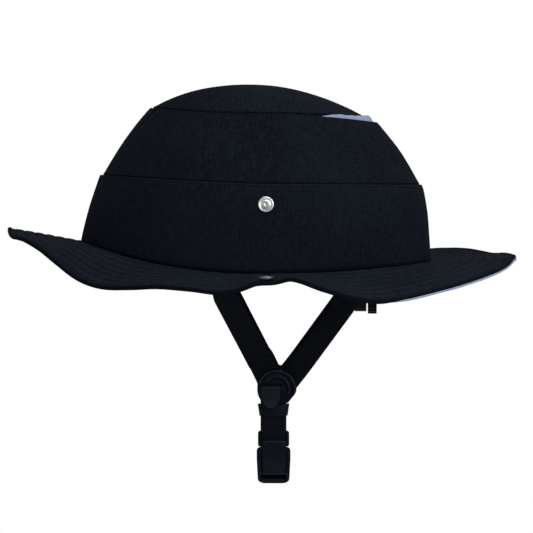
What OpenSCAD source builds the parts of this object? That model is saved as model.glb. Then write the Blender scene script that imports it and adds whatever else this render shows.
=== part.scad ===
// Bicycle helmet under a removable bucket hat cover.
// Front is -X, rear is +X, the wearer's left is -Y, up is +Z.
// The origin is the middle of the head opening, level with the cover's hem at the ears.

/* [Cover crown] */
// Middle to the hem, toward the forehead
hem_front = 140; // [130:1:150]
// Middle to the hem, toward the nape
hem_rear = 140; // [130:1:150]
// Middle to the hem, sideways
hem_half = 111; // [105:1:120]
// Rise of the hem at the forehead
hem_rise_front = 24; // [16:1:30]
// Rise of the hem at the nape
hem_rise_rear = 8; // [4:1:14]
// Height of the stitched seam above the hem, at the side
seam_z = 70; // [64:1:76]
// Rise of the seam toward the forehead, and fall toward the nape
seam_tilt = 5; // [0:0.5:7]
// Lean of the side band inward, at the forehead
band_lean_front = 15.3; // [10:0.5:20]
// Lean of the side band inward, at the nape
band_lean_rear = 7; // [4:0.5:12]
// Lean of the side band inward, sideways
band_lean_side = 10; // [6:0.5:14]
// Middle to the shoulder of the middle band, toward the forehead
top_front = 84.4; // [78:0.5:90]
// Middle to the shoulder of the middle band, toward the nape
top_rear = 96.8; // [90:0.5:102]
// Middle to the shoulder of the middle band, sideways
top_half = 71; // [66:0.5:76]
// Height of that shoulder at the side
top_z = 125.5; // [121:0.5:129]
// Rise of the shoulder toward the forehead
top_rise_front = 4.7; // [2:0.1:6]
// Fall of the shoulder toward the nape
top_fall_rear = 6.9; // [4:0.1:8]
// Height of the very top of the crown
crown_z = 148.4; // [145:0.2:154]
// Width of the vent gap between dome and middle band, at the nape
vent_gap = 9.8; // [7:0.2:13]
// Swell of the side band between its seams
band_swell = 1.2; // [0.4:0.1:2]
// Swell of the middle band between its seams
middle_swell = 1.8; // [0.8:0.1:2.4]
// Thickness of the quilted cover cloth
cloth = 2.2; // [1.6:0.1:2.6]
// Depth that an upper tier is tucked behind the tier below it
tuck = 8; // [5:0.5:10]

/* [Brim] */
// Middle to the brim's edge, toward the forehead
brim_front = 198.5; // [188:0.5:206]
// Middle to the brim's edge, toward the nape
brim_rear = 208; // [198:0.5:216]
// Middle to the brim's edge, sideways
brim_half = 176; // [172:0.5:182]
// Thickness of the brim's upper cloth
brim_cloth = 1.6; // [1.2:0.1:2.4]
// Thickness of the brim's lining
lining = 1.1; // [0.8:0.1:1.6]
// Distance from the hem out to the line along which a side of the brim folds up
fold_out = 2; // [1.5:0.1:3]
// Height of that line
fold_z = -1; // [-3:0.1:0]

/* [Snaps] */
// Diameter of a snap's outer ring
snap_d = 12.6; // [11:0.2:14]
// Diameter of the stud in its middle
stud_d = 5.9; // [5:0.1:6.5]
// How far the stud stands out of its ring
stud_h = 1.7; // [1.2:0.1:2]
// Thickness of a snap's ring
snap_t = 0.9; // [0.7:0.1:1.2]
// Middle of a snap to the brim's edge
snap_in = 8.5; // [7:0.5:12]
// Place of the snap along the helmet
snap_x = 8; // [6:0.5:18]

/* [Shell and liner] */
// Thickness of the hard shell
shell_t = 2; // [1.5:0.1:3]
// Space between cover and shell
cover_gap = 0.7; // [0.5:0.1:1.2]
// How far the shell reaches below the cover's hem
rim_drop = 4; // [3:0.5:6]
// Middle of the head opening to its front end
head_front = 108; // [102:0.5:112]
// Middle of the head opening to its rear end
head_rear = 106; // [101:0.5:110]
// Middle of the head opening to its side
head_half = 84; // [80:0.5:88]
// Height of the head space
head_z = 116; // [108:0.5:120]
// Depth of the trim under the rim
trim_h = 2.4; // [1.6:0.2:4]

/* [Comfort pads] */
// Thickness of a pad at its middle
pad_t = 8; // [5:0.5:11]
// Thickness of a pad at its edge
pad_edge = 3; // [2:0.5:4]
// Diameter of a hook and loop dot
dot_d = 13; // [10:0.5:16]
// Thickness of a hook and loop dot
dot_t = 1; // [0.8:0.1:1.2]

/* [Rear fit system] */
// Middle of the helmet to the head side of the cradle
cradle_x = 79; // [77:0.5:81]
// Height of the dial's axis
dial_z = -18; // [-20:0.5:-16]
// Width of the cradle
cradle_w = 72; // [68:1:80]
// Height of the cradle
cradle_h = 29; // [28:0.5:30]
// Depth of the cradle's housing with its cover
cradle_t = 9; // [8.5:0.1:10]
// Wall thickness of the housing
cradle_wall = 1.6; // [1.2:0.1:2]
// Diameter of the dial
dial_d = 34; // [30:0.5:36]
// Thickness of the dial
dial_t = 7; // [6:0.5:9]
// Number of grips round the dial
dial_grips = 20; // [12:1:28]
// Pitch radius of the pinion
pinion_r = 5; // [4.6:0.1:5.4]
// Number of pinion teeth
pinion_teeth = 12; // [10:1:14]
// Diameter of the pinion's shaft
shaft_d = 5; // [4:0.2:6]
// Thickness of a rack
rack_t = 2.6; // [2:0.1:3]
// Thickness of the plastic fit band
band_t = 1.2; // [1:0.1:1.6]
// Width of the fit band
band_w = 10; // [8:0.5:11]

/* [Chin straps] */
// Width of the webbing
web_w = 20; // [19:0.2:20.6]
// Thickness of the webbing
web_t = 1.5; // [1.2:0.1:1.6]
// Middle of the helmet to the plane of strap divider and buckle
strap_y = 66; // [63:0.5:69]
// Place of the lower straps along the helmet
strap_x = 14; // [12:0.2:16]
// Radius of the round strap divider
divider_r = 15.6; // [15:0.1:16.4]
// Thickness of a divider plate
divider_plate = 1.7; // [1.4:0.1:2.2]
// Width of the divider's lever
lever_w = 15.7; // [14:0.1:17]
// Height of the divider's lever
lever_h = 18.4; // [16:0.2:19]
// Diameter of the lever's pin
pin_d = 1.6; // [1.2:0.1:1.8]

/* [Buckle] */
// Width of the buckle's plug
plug_w = 24.8; // [24.4:0.1:25.6]
// Depth of the plug from front to back
plug_t = 7; // [6.4:0.1:7.6]
// Width of the buckle's socket
socket_w = 26.8; // [26.4:0.1:28]
// Height of the buckle's socket
socket_h = 30.7; // [29:0.1:33]
// Depth of the socket from front to back
socket_t = 8.4; // [8:0.1:9]

/* [Hidden] */
// Clearance between pieces that fit together
fit = 0.3;
around = 48;
$fn = 64;

cloth_dark = [0.06, 0.07, 0.1];
brim_dark = [0.09, 0.11, 0.14];
lining_blue = [0.5, 0.56, 0.68];
web_black = [0.04, 0.045, 0.06];
plastic_black = [0.05, 0.055, 0.065];
metal = [0.8, 0.8, 0.82];
foam_dark = [0.16, 0.16, 0.17];

// A ring round the crown is [front, rear, half width, front z, rear z, side z, bend],
// where bend says how sharply its height turns from side to end.
function ring_point(r, a) = let(c = cos(a), w = pow(abs(c), r[6]))
  [c < 0 ? r[0] * c : r[1] * c, r[2] * sin(a),
   r[5] + (c < 0 ? (r[3] - r[5]) * w : (r[4] - r[5]) * w)];
function ring(r, n = around) = [for (k = [0:n - 1]) ring_point(r, 360 * k / n)];
function shrink(r, d) = [r[0] - d, r[1] - d, r[2] - d, r[3], r[4], r[5], r[6]];
function lower(r, d) = [r[0], r[1], r[2], r[3] - d, r[4] - d, r[5] - d, r[6]];
function outward(r0, z0, r1, z1) = let(t = [r1 - r0, z1 - z0]) [t[1], -t[0]] / norm(t);
function push(r, a, b, d) = let(f = outward(a[0], a[3], b[0], b[3]),
    g = outward(a[1], a[4], b[1], b[4]), s = outward(a[2], a[5], b[2], b[5]))
  [r[0] + d * f[0], r[1] + d * g[0], r[2] + d * s[0],
   r[3] + d * f[1], r[4] + d * g[1], r[5] + d * s[1], r[6]];
function tier(a, b, swell, n) =
  [for (i = [0:n]) push(a + (b - a) * i / n, a, b, swell * sin(180 * i / n))];
function inset(levels, d) = let(last = len(levels) - 1) concat([shrink(levels[0], d)],
  [for (i = [1:last]) push(levels[i], levels[i - 1], levels[min(i + 1, last)], -d)]);
function reverse(v) = [for (i = [len(v) - 1:-1:0]) v[i]];

// A side of the brim folds about a line beside the hem, and its snap meets the side band there.
fold_y = hem_half + fold_out;
snap_z = brim_half - fold_y - snap_in + fold_z;

// The crown's tiers, from the hem to the top.
hem = [hem_front, hem_rear, hem_half, hem_rise_front, hem_rise_rear, 0, 2];
seam_front_z = seam_z + seam_tilt + 1.4;
seam_rear_z = seam_z - seam_tilt + 3.5;
seam = [hem_front - (seam_front_z - hem_rise_front) * tan(band_lean_front) - 1,
  hem_rear - (seam_rear_z - hem_rise_rear) * tan(band_lean_rear),
  hem_half - seam_z * tan(band_lean_side) + 2.3, seam_front_z, seam_rear_z, seam_z, 1.2];
top = [top_front, top_rear, top_half, top_z + top_rise_front, top_z - top_fall_rear, top_z, 2];
lap = cloth + fit;
middle_foot = shrink(seam, lap);
dome_foot = [top_front - lap, top_rear - vent_gap, top_half - lap,
  top_z + top_rise_front, top_z - top_fall_rear + 4, top_z + 0.5, 2];
dome_mid_x = -6;
function dome_ring(q) = let(h = 1 - pow(q, 2.15), f = dome_foot)
  [f[0] * q - dome_mid_x * (1 - q), f[1] * q + dome_mid_x * (1 - q), f[2] * q,
   f[3] + (crown_z - f[3]) * h, f[4] + (crown_z - f[4]) * h, f[5] + (crown_z - f[5]) * h, 2];
dome_steps = [1, 0.86, 0.7, 0.52, 0.33, 0.12];
side_levels = tier(hem, seam, band_swell, 3);
middle_levels = tier(middle_foot, top, middle_swell, 4);
dome_levels = [for (q = dome_steps) dome_ring(q)];

// The shell follows the inner face of the cover and of its tucked edges.
rim = lower(hem, rim_drop);
dome_tuck = 0.6 * tuck;
skin_levels = concat([rim, side_levels[1], lower(middle_foot, tuck)],
  [for (i = [0:2]) middle_levels[i]], [lower(shrink(dome_foot, 1), dome_tuck)],
  [for (q = dome_steps) dome_ring(min(q, 0.96))]);
shell_outer = inset(skin_levels, cloth + cover_gap);
shell_inner = inset(shell_outer, shell_t);
liner_outer = inset(shell_outer, shell_t + fit);

// The head space is an egg: a is the bearing round the head, u the climb from rim to top.
function head_ring(u) = let(c = pow(cos(u), 0.85), s = sin(u))
  [head_front * c, head_rear * c, head_half * c, rim[3] + (head_z - rim[3]) * s,
   rim[4] + (head_z - rim[4]) * s, rim[5] + (head_z - rim[5]) * s, 2];
function head_point(a, u) = ring_point(head_ring(u), a);
function head_normal(a, u) = let(p = head_point(a, u), q = head_point(a + 0.5, u) - p,
    r = head_point(a, u + 0.5) - p, n = cross(r, q)) n / norm(n);
function off_head(a, u, d) = head_point(a, u) + head_normal(a, u) * d;
head_levels = [for (i = [0:7]) head_ring(12 * i)];

// Two triangles for each cell between neighbouring sections. The far half of a section is
// split the other way, so that layers laid on one another share their triangles.
function cell(a, b, c, d, far) = far ? [[a, d, b], [d, c, b]] : [[a, d, c], [a, c, b]];
function ladder(n, at, up) = [for (j = [0:n / 2 - 2])
  let(q = [at + j, at + j + 1, at + n - 2 - j, at + n - 1 - j])
  each (up ? [[q[0], q[2], q[1]], [q[0], q[3], q[2]]] : [[q[0], q[1], q[2]], [q[0], q[2], q[3]]])];

// A solid swept through closed sections, shut at its ends or joined into a loop.
module sweep(sections, loop = false) {
  n = len(sections[0]);
  m = len(sections);
  sides = [for (i = [0:m - (loop ? 1 : 2)]) for (k = [0:n - 1])
    let(i2 = (i + 1) % m, k2 = (k + 1) % n)
    each cell(i * n + k, i * n + k2, i2 * n + k2, i2 * n + k, k >= n / 2)];
  ends = loop ? [] : concat(ladder(n, 0, false), ladder(n, (m - 1) * n, true));
  polyhedron(points = [for (s = sections) each s], faces = concat(sides, ends), convexity = 8);
}

// A strap through points, with its width along w at each of them.
function unit(v) = v / norm(v);
function turn(p, i) = unit((i < len(p) - 1 ? unit(p[i + 1] - p[i]) : [0, 0, 0])
  + (i > 0 ? unit(p[i] - p[i - 1]) : [0, 0, 0]));
module ribbon(path, across, width, thick) {
  sweep([for (i = [0:len(path) - 1]) let(t = turn(path, i),
      w = unit(across[i] - t * (across[i] * t)), h = cross(t, w), p = path[i],
      a = w * width / 2, b = h * thick / 2)
    [p + a + b, p - a + b, p - a - b, p + a - b]]);
}

// Flat outlines standing upright, facing the wearer's left, extruded away from near to far.
module upright(near, far) {
  translate([0, far, 0]) rotate([90, 0, 0]) linear_extrude(far - near) children();
}
function rounded(w, h, r, n = 4) = [for (q = [0:3]) for (i = [0:n])
  let(a = 90 * q + 90 * i / n, sx = (q == 0 || q == 3) ? 1 : -1, sz = q < 2 ? 1 : -1)
  [sx * (w / 2 - r) + r * cos(a), sz * (h / 2 - r) + r * sin(a)]];
function oval(w, h, n = 36) = [for (i = [0:n - 1]) [w / 2 * cos(360 * i / n),
  h / 2 * sin(360 * i / n)]];

/* [Hidden] */
// Helmet: shell, liner, trim and pads.
module outer_shell() color(plastic_black)
  sweep(concat([for (l = reverse(shell_inner)) ring(l)], [for (l = shell_outer) ring(l)]));

module foam_liner() color(foam_dark)
  sweep(concat([for (l = reverse(head_levels)) ring(l)], [for (l = liner_outer) ring(l)]));

trim_in = 0.6;
trim_gap = 0.5;
module rim_trim() color(plastic_black)
  sweep([for (k = [0:around - 1]) let(a = 360 * k / around,
      o = ring_point(lower(shell_outer[0], trim_gap), a),
      p = ring_point(lower(head_levels[0], trim_gap), a),
      out = unit([o[0] - p[0], o[1] - p[1], 0]) * trim_in, down = [0, 0, -trim_h])
    [p - out, o, o + down * 0.6, o - 3 * out + down, p + 3 * out + down, p + down * 0.6]], true);

pad_back = 2.4;
pad_cells = 8;
function swell(x) = 1 - pow(abs(2 * x - 1), 3);
// A crowned pad on the wall of the head space, from bearing a0 to a1 and climb u0 to u1.
module pad(a0, a1, u0, u1) {
  n = pad_cells;
  cols = [for (j = [0:4]) u0 + (u1 - u0) * j / 4];
  sweep([for (i = [0:n]) let(a = a0 + (a1 - a0) * i / n,
      edge = sqrt(max(0, swell(i / n))))
    concat([for (j = [4:-1:0]) off_head(a, mix(cols[j], (u0 + u1) / 2, i / n), pad_back)],
      [for (j = [0:4]) off_head(a, mix(cols[j], (u0 + u1) / 2, i / n),
        pad_back + pad_edge + (pad_t - pad_edge) * edge * swell(j / 4))])]);
}
// A pad's ends are rounded: its rows close in toward its middle row.
function mix(u, mid, x) = mid + (u - mid) * (1 - 0.45 * pow(abs(2 * x - 1), 4));

front_pad_at = [148, 212, 8, 26];
side_pad_at = [238, 292, 9, 27];
crown_pad_at = [54, 70];
module front_pad() color(foam_dark)
  pad(front_pad_at[0], front_pad_at[1], front_pad_at[2], front_pad_at[3]);
module side_pad_left() color(foam_dark)
  pad(side_pad_at[0], side_pad_at[1], side_pad_at[2], side_pad_at[3]);
module side_pad_right() color(foam_dark)
  pad(360 - side_pad_at[1], 360 - side_pad_at[0], side_pad_at[2], side_pad_at[3]);
module crown_pad() color(foam_dark)
  sweep([for (k = [0:23]) let(a = 15 * k, u0 = crown_pad_at[0], u1 = crown_pad_at[1])
    concat([for (j = [3:-1:0]) off_head(a, u0 + (u1 - u0) * j / 3, pad_back)],
      [for (j = [0:3]) off_head(a, u0 + (u1 - u0) * j / 3,
        pad_back + pad_edge + (pad_t - pad_edge) * swell(j / 3))])], true);

// Round hook and loop dots between the pads and the liner.
dot_back = 1.05;
dot_sites = [[160, 17], [200, 17], [250, 18], [280, 18], [80, 18], [110, 18],
  [0, 62], [90, 62], [180, 62], [270, 62]];
module pad_dots() color([0.2, 0.2, 0.22])
  for (s = dot_sites) {
    n = head_normal(s[0], s[1]);
    translate(off_head(s[0], s[1], dot_back)) rotate([0, acos(n[2]), atan2(n[1], n[0])])
      cylinder(d = dot_d, h = dot_t, $fn = 12);
  }

// Straps leave the rim at an anchor each, and slant to the divider.
front_x = -23.4;
rear_x = 76;
anchor_h = 7;
anchor_t = 5;
anchor_w = web_w + 4;
function rim_y(x) = (sqrt(1 - pow(x / rim[x < 0 ? 0 : 1], 2)) * (rim[2] - cloth - cover_gap)
  + sqrt(1 - pow(x / (x < 0 ? head_front : head_rear), 2)) * head_half) / 2;
function rim_z(x) = rim[5] + (x < 0 ? (rim[3] - rim[5]) : (rim[4] - rim[5]))
  * pow(x / (x < 0 ? rim[0] : rim[1]), 2) - trim_gap - trim_h;
front_y = rim_y(front_x);
rear_y = rim_y(rear_x);
anchor_front_z = rim_z(front_x + anchor_w / 2) - fit - anchor_h;
anchor_rear_z = rim_z(rear_x - anchor_w / 2) - fit - anchor_h;
module anchor(x, y, z) translate([x, y, z]) difference() {
  translate([-anchor_w / 2, -anchor_t / 2, 0]) cube([anchor_w, anchor_t, anchor_h]);
  translate([-web_w / 2 - fit, -web_t / 2 - fit, -1])
    cube([web_w + 2 * fit, web_t + 2 * fit, anchor_h * 0.6 + 1]);
}
module strap_anchors() color(plastic_black) for (s = [-1, 1]) {
  anchor(front_x, s * front_y, anchor_front_z);
  anchor(rear_x, s * rear_y, anchor_rear_z);
}

// Rear fit system: cradle, dial, racks and bands.
cover_x = cradle_x + cradle_t - cradle_wall;
rack_x = cradle_x + cradle_wall + 0.6;
tooth_h = 1.5;
rack_gap = pinion_r + tooth_h / 2 + 0.1;
rack_back = 3;
rack_out = cradle_w / 2 + 9;
rack_in = 14;
pitch = 2 * PI * pinion_r / pinion_teeth;
rack_mid = rack_gap + rack_back / 2;
band_y = 80;
band_path = [[-22, -band_y, 5], [0, -band_y, 2], [24, -77.5, -2.5], [46, -70, -7],
  [63, -60, -10], [75, -50.5, -12]];
// Flat outlines lying across the helmet: their x is sideways and their y is up.
module crosswise(x0, x1) translate([x0, 0, dial_z]) rotate([90, 0, 90]) linear_extrude(x1 - x0)
  children();

module cradle_housing() color(plastic_black) difference() {
  crosswise(cradle_x, cover_x) polygon(rounded(cradle_w, cradle_h, 9));
  crosswise(cradle_x + cradle_wall, cover_x + 1)
    polygon(rounded(cradle_w - 2 * cradle_wall, cradle_h - 2 * cradle_wall, 7.4));
  crosswise(cradle_x - 1, cover_x) circle(d = shaft_d - 1 + 2 * fit);
  for (s = [-1, 1])
    crosswise(rack_x - fit, rack_x + rack_t + fit) translate([s * cradle_w / 2, -s * rack_mid])
      square([cradle_w / 2, rack_back + 2 * fit], center = true);
}

module cradle_cover() color(plastic_black) difference() {
  crosswise(cover_x, cover_x + cradle_wall) polygon(rounded(cradle_w, cradle_h, 9));
  crosswise(cover_x - 1, cover_x + cradle_wall + 1) circle(d = shaft_d + 2 * fit);
  for (s = [-1, 1]) translate([0, s * screw_y, 0])
    crosswise(cover_x - 1, cover_x + cradle_wall + 1) circle(d = 2.2 + 2 * fit);
}
screw_y = cradle_w / 2 - 6;
module cradle_screws() color(metal) for (s = [-1, 1]) translate([0, s * screw_y, 0]) {
  crosswise(cover_x + cradle_wall, cover_x + cradle_wall + 1.2) circle(d = 4.4);
  crosswise(cover_x - 3, cover_x + cradle_wall + 0.4) circle(d = 2.2);
}

hanger_y = 20;
module cradle_hangers() color(plastic_black) for (s = [-1, 1]) {
  foot = [cradle_x + 4.5, s * hanger_y, dial_z + cradle_h / 2 + 0.8];
  up = head_point(0, 7);
  head = [up[0] * sqrt(1 - pow(hanger_y / head_half, 2)) - 2.7, s * hanger_y, up[2]];
  mid = foot * 0.55 + head * 0.45 + [2.5, 0, 0];
  ribbon([foot, mid, head], [[0, 1, 0], [0, 1, 0], [0, 1, 0]], 8, 1.4);
}

module nape_pad() color(foam_dark) {
  n = 8;
  sweep([for (i = [0:n]) let(y = -cradle_w / 2 + 2 + (cradle_w - 4) * i / n, e = sqrt(swell(i / n)),
      h = (cradle_h / 2 - 1) * (0.7 + 0.3 * e))
    concat([for (j = [0:4]) [cradle_x - fit - 1.4 - 3 * e * swell(j / 4), y, dial_z - h + h * j / 2]],
      [for (j = [4:-1:0]) [cradle_x - fit, y, dial_z - h + h * j / 2]])]);
}

knob_x = cover_x + cradle_wall + 1.2 + fit;
module dial_knob() color(plastic_black) difference() {
  crosswise(knob_x, knob_x + dial_t) circle(d = dial_d);
  for (i = [0:dial_grips - 1]) translate([0, 0, dial_z]) rotate([360 * i / dial_grips, 0, 0])
    translate([knob_x - 1, 0, dial_d / 2 + 0.6]) rotate([0, 90, 0]) cylinder(r = 1.7, h = dial_t + 2);
  crosswise(knob_x + dial_t - 2.2, knob_x + dial_t + 1) circle(d = 8);
  crosswise(knob_x - 1, knob_x + dial_t) circle(d = 3 + fit);
  crosswise(knob_x - 1, knob_x + 3) circle(d = shaft_d + 0.1);
}

tooth = [[-pitch * 0.26, -tooth_h / 2], [-pitch * 0.13, tooth_h / 2],
  [pitch * 0.13, tooth_h / 2], [pitch * 0.26, -tooth_h / 2]];
module dial_pinion() color(plastic_black) {
  difference() {
    union() {
      crosswise(rack_x - 0.2, rack_x + rack_t + 0.2) circle(r = pinion_r - tooth_h / 2);
      for (i = [0:pinion_teeth - 1]) translate([0, 0, dial_z]) rotate([360 * (i + 0.5) / pinion_teeth, 0, 0])
        translate([rack_x - 0.2, 0, pinion_r]) rotate([90, 0, 90]) linear_extrude(rack_t + 0.4)
          polygon([tooth[0] - [0.1, 0.3], tooth[1], tooth[2], tooth[3] - [-0.1, 0.3]]);
      crosswise(rack_x, knob_x + 3) circle(d = shaft_d);
      crosswise(cradle_x + 0.2, rack_x) circle(d = shaft_d - 1);
    }
    crosswise(rack_x + 1, knob_x + 4) circle(d = 2.2);
  }
}
module dial_screw() color(metal) difference() {
  union() {
    crosswise(knob_x + dial_t - 2.1, knob_x + dial_t - 0.6) circle(d = 6);
    crosswise(knob_x + 3.1, knob_x + dial_t - 2.1) circle(d = 2.6);
    crosswise(rack_x + 2, knob_x + 3.1) circle(d = 2);
  }
  crosswise(knob_x + dial_t - 1.5, knob_x + dial_t) {
    square([0.8, 4], center = true);
    square([4, 0.8], center = true);
  }
}

// A toothed rack: its bar lies beyond the pinion, its teeth point back to the axis.
module rack() {
  count = floor((rack_in * 2 + 6) / pitch);
  crosswise(rack_x, rack_x + rack_t) translate([-rack_out, rack_gap]) square([rack_out + rack_in, rack_back]);
  for (i = [0:count - 1]) crosswise(rack_x, rack_x + rack_t)
    translate([rack_in - pitch * (i + 0.5) - (rack_in % pitch) + pitch * 0.5, pinion_r + 0.1])
    polygon([for (p = reverse(tooth)) [p[0], -p[1] + (p[1] < 0 ? 0.2 : 0)]]);
}
module rack_left() color(plastic_black) rack();
module rack_right() color(plastic_black)
  translate([0, 0, 2 * dial_z]) rotate([180, 0, 0]) rack();

module band(s) {
  end = [rack_x + rack_t / 2, -rack_out - 0.8, dial_z - s * rack_mid];
  path = concat(band_path, [end]);
  mid = len(path) - 1;
  pts = [for (i = [0:mid]) [path[i][0], path[i][1] * -s,
    path[i][2] + (s > 0 ? (end[2] - band_path[5][2]) * pow(i / mid, 2) : 0)]];
  ribbon([for (i = [0:mid - 1]) pts[i]], [for (p = pts) [0, 0, 1]], band_w, band_t);
  ribbon([pts[mid - 1], [end[0], -s * end[1], end[2]]], [[0, 0, 1], [0, 0, 1]],
    rack_back + 2, band_t);
}
module fit_band_left() color(plastic_black) band(-1);
module fit_band_right() color(plastic_black) band(1);
module band_rivets() color(metal) for (s = [-1, 1]) {
  at = band_path[0] + [5, 0, -0.7];
  wall = head_half * sqrt(1 - pow(at[0] / head_front, 2));
  translate([at[0], s * (band_y + band_t / 2 + fit), at[2]]) rotate([-90 * s, 0, 0])
    cylinder(d = 5, h = wall - band_y - band_t / 2 - 5 * fit);
}

// Chin straps: two webbings a side run through a divider down to the buckle.
layer = web_t / 2 + 0.2;
divider_x = strap_x + 2.6;
divider_z = -93.2;
bar_gap = 2.05;
plug_top = -126.4;
// Where each webbing bends, across from the buckle's middle and up from the divider's.
front_turns = [[-11, divider_r + 8.2], [-9, divider_r + 4.4], [-2.4, 6.2], [0, -4], [0, -8]];
rear_turns = [[20, divider_r + 3], [7, 1.2]];
rear_low_turns = [[3.6, -3.7], [0, -8]];
function turns(list, lay) = [for (p = list) [strap_x + p[0], lay, divider_z + p[1]]];
function strap_path(x, y, z, lay, foot) = concat([[x, y, z + anchor_seat], [x, y, z - 4.8]],
  turns(x < 0 ? front_turns : rear_turns, lay), foot);
function strap_foot(y, lay) = [[strap_x, lay, plug_top + 7.4],
  [strap_x, y + (lay - y) / layer * bar_gap, plug_top - 0.6],
  [strap_x, y + (lay - y) / layer * bar_gap, plug_top - 6.6]];
module strap(x, y, z, lay, foot) {
  path = strap_path(x, y, z, lay, foot);
  ribbon(path, [for (p = path) [1, 0, 0]], web_w, web_t);
}
anchor_seat = anchor_h * 0.6 - fit;
module front_strap_left() color(web_black) strap(front_x, -front_y, anchor_front_z,
  -strap_y - layer, strap_foot(-strap_y, -strap_y - layer));
module rear_strap_left() color(web_black) strap(rear_x, -rear_y, anchor_rear_z,
  -strap_y + layer, concat(turns(rear_low_turns, -strap_y + layer),
    strap_foot(-strap_y, -strap_y + layer)));
module front_strap_right() color(web_black) strap(front_x, front_y, anchor_front_z,
  strap_y + layer, []);
module rear_strap_right() color(web_black) strap(rear_x, rear_y, anchor_rear_z,
  strap_y - layer, []);

// The divider is two round plates on posts, with a hinged lever on its outer face.
cavity = 2 * web_t + 1;
plate_face = cavity / 2 + divider_plate;
lever_x = divider_x - 5;
lever_top = divider_z + 3.4;
hub_r = 2;
lever_round = 11;
axis_z = lever_top - hub_r;
axis_y = plate_face + fit + hub_r;
ear_w = 1.6;
posts = [[-divider_r + 1.6, -4.2, 0.9], [divider_r - 3.9, -8.4, 1.1]];
// The divider's foot is cut flat.
divider_flat = 11.1;
module divider_disc() difference() {
  translate([divider_x, divider_z]) circle(r = divider_r);
  translate([divider_x - divider_r, divider_z - 2 * divider_flat])
    square([2 * divider_r, divider_flat]);
}
module divider() {
  for (y = [-plate_face, cavity / 2]) upright(y, y + divider_plate) divider_disc();
  for (p = posts) upright(-plate_face, plate_face)
    translate([divider_x + p[0], divider_z + p[1]]) circle(r = p[2]);
  difference() {
    union() {
      upright(-plate_face - 0.9, -plate_face) divider_disc();
      for (s = [-1, 1]) translate([lever_x + s * (lever_w / 2 + fit + ear_w / 2), -axis_y, axis_z])
        rotate([0, 90, 0]) cylinder(r = hub_r, h = ear_w, center = true);
      for (s = [-1, 1]) translate([lever_x + s * (lever_w / 2 + fit + ear_w / 2) - ear_w / 2,
          -axis_y, axis_z - hub_r]) cube([ear_w, axis_y - plate_face + 0.2, 2 * hub_r]);
    }
    upright(-plate_face - 1, -plate_face) difference() {
      translate([divider_x, divider_z]) circle(r = divider_r - 2.4);
      for (s = [-1, 1]) translate([lever_x + s * (lever_w / 2 + fit + ear_w / 2), axis_z])
        square([ear_w, 2 * hub_r], center = true);
    }
    upright(-plate_face - 1, -plate_face) translate([lever_x, divider_z - divider_r])
      square([lever_w + 2 * fit, 2 * divider_r], center = true);
    translate([lever_x, -axis_y, axis_z]) rotate([0, 90, 0])
      cylinder(d = pin_d + 0.1, h = lever_w + 8, center = true);
  }
}
module divider_left() color(plastic_black) translate([0, -strap_y, 0]) divider();
module divider_right() color(plastic_black) translate([0, strap_y, 0]) mirror([0, 1, 0]) divider();

module lever() difference() {
  union() {
    intersection() {
      upright(-axis_y - 0.6, -plate_face - fit) translate([lever_x, lever_top - lever_h + lever_round]) {
        polygon(oval(lever_w, 2 * lever_round));
        translate([-lever_w / 2, 0]) square([lever_w, lever_h - lever_round]);
      }
      upright(-axis_y - 5, 0) translate([lever_x, axis_z - 50]) square([lever_w, 100], center = true);
    }
    translate([lever_x, -axis_y, axis_z]) rotate([0, 90, 0])
      cylinder(r = hub_r, h = lever_w - 1.2, center = true);
  }
  translate([lever_x, -axis_y, axis_z]) rotate([0, 90, 0])
    cylinder(d = pin_d + 2 * 0.15, h = lever_w + 2, center = true);
}
module divider_lever_left() color(plastic_black) translate([0, -strap_y, 0]) lever();
module divider_lever_right() color(plastic_black) translate([0, strap_y, 0]) mirror([0, 1, 0]) lever();
module lever_pin() translate([lever_x, -axis_y, axis_z]) rotate([0, 90, 0])
  cylinder(d = pin_d, h = lever_w + 2 * (fit + ear_w), center = true);
module lever_pin_left() color(metal) translate([0, -strap_y, 0]) lever_pin();
module lever_pin_right() color(metal) translate([0, strap_y, 0]) mirror([0, 1, 0]) lever_pin();

keeper_h = 9.6;
keeper_z = -109.6;
keeper_t = 5.8;
module strap_keeper() color(plastic_black) difference() {
  translate([strap_x, -strap_y, keeper_z - keeper_h / 2]) linear_extrude(keeper_h)
    polygon(rounded(web_w + 5, keeper_t, 2.2));
  translate([strap_x, -strap_y, keeper_z - keeper_h]) linear_extrude(2 * keeper_h)
    polygon(rounded(web_w + 2 * fit, 2 * web_t + 1, 0.8));
}

// Side release buckle: plug on the straps, two sprung prongs, socket on the chin strap.
plug_h = 12.6;
plug_z = plug_top - plug_h;
slot_w = web_w + 2 * 0.35;
slot_z = plug_top - 8;
prong_x = 8.6;
pivot_z = plug_z + 2.1;
prong_r = 1.5;
prong_w = 3;
prong_y = 4.2;
tongue = [6.4, 2.4, 13];
module buckle_plug() color(plastic_black) translate([strap_x, -strap_y, 0]) difference() {
  union() {
    upright(-plug_t / 2, plug_t / 2) translate([0, plug_top - plug_h / 2])
      polygon(rounded(plug_w, plug_h, 2));
    translate([-tongue[0] / 2, -tongue[1] / 2, plug_z - tongue[2]]) cube([tongue[0], tongue[1], tongue[2] + 1]);
  }
  upright(-plug_t, plug_t) translate([0, slot_z + 1.6]) square([slot_w, 3.2], center = true);
  for (s = [-1, 1]) translate([-slot_w / 2, s > 0 ? 1 : -plug_t - 1, slot_z + 3])
    cube([slot_w, plug_t, plug_h]);
  for (s = [-1, 1]) {
    upright(-plug_t, plug_t) translate([s * prong_x, pivot_z]) circle(r = prong_r + fit);
    upright(-plug_t, plug_t) translate([s * prong_x, pivot_z - 2])
      square([prong_w + 1, 4], center = true);
  }
}

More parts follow.
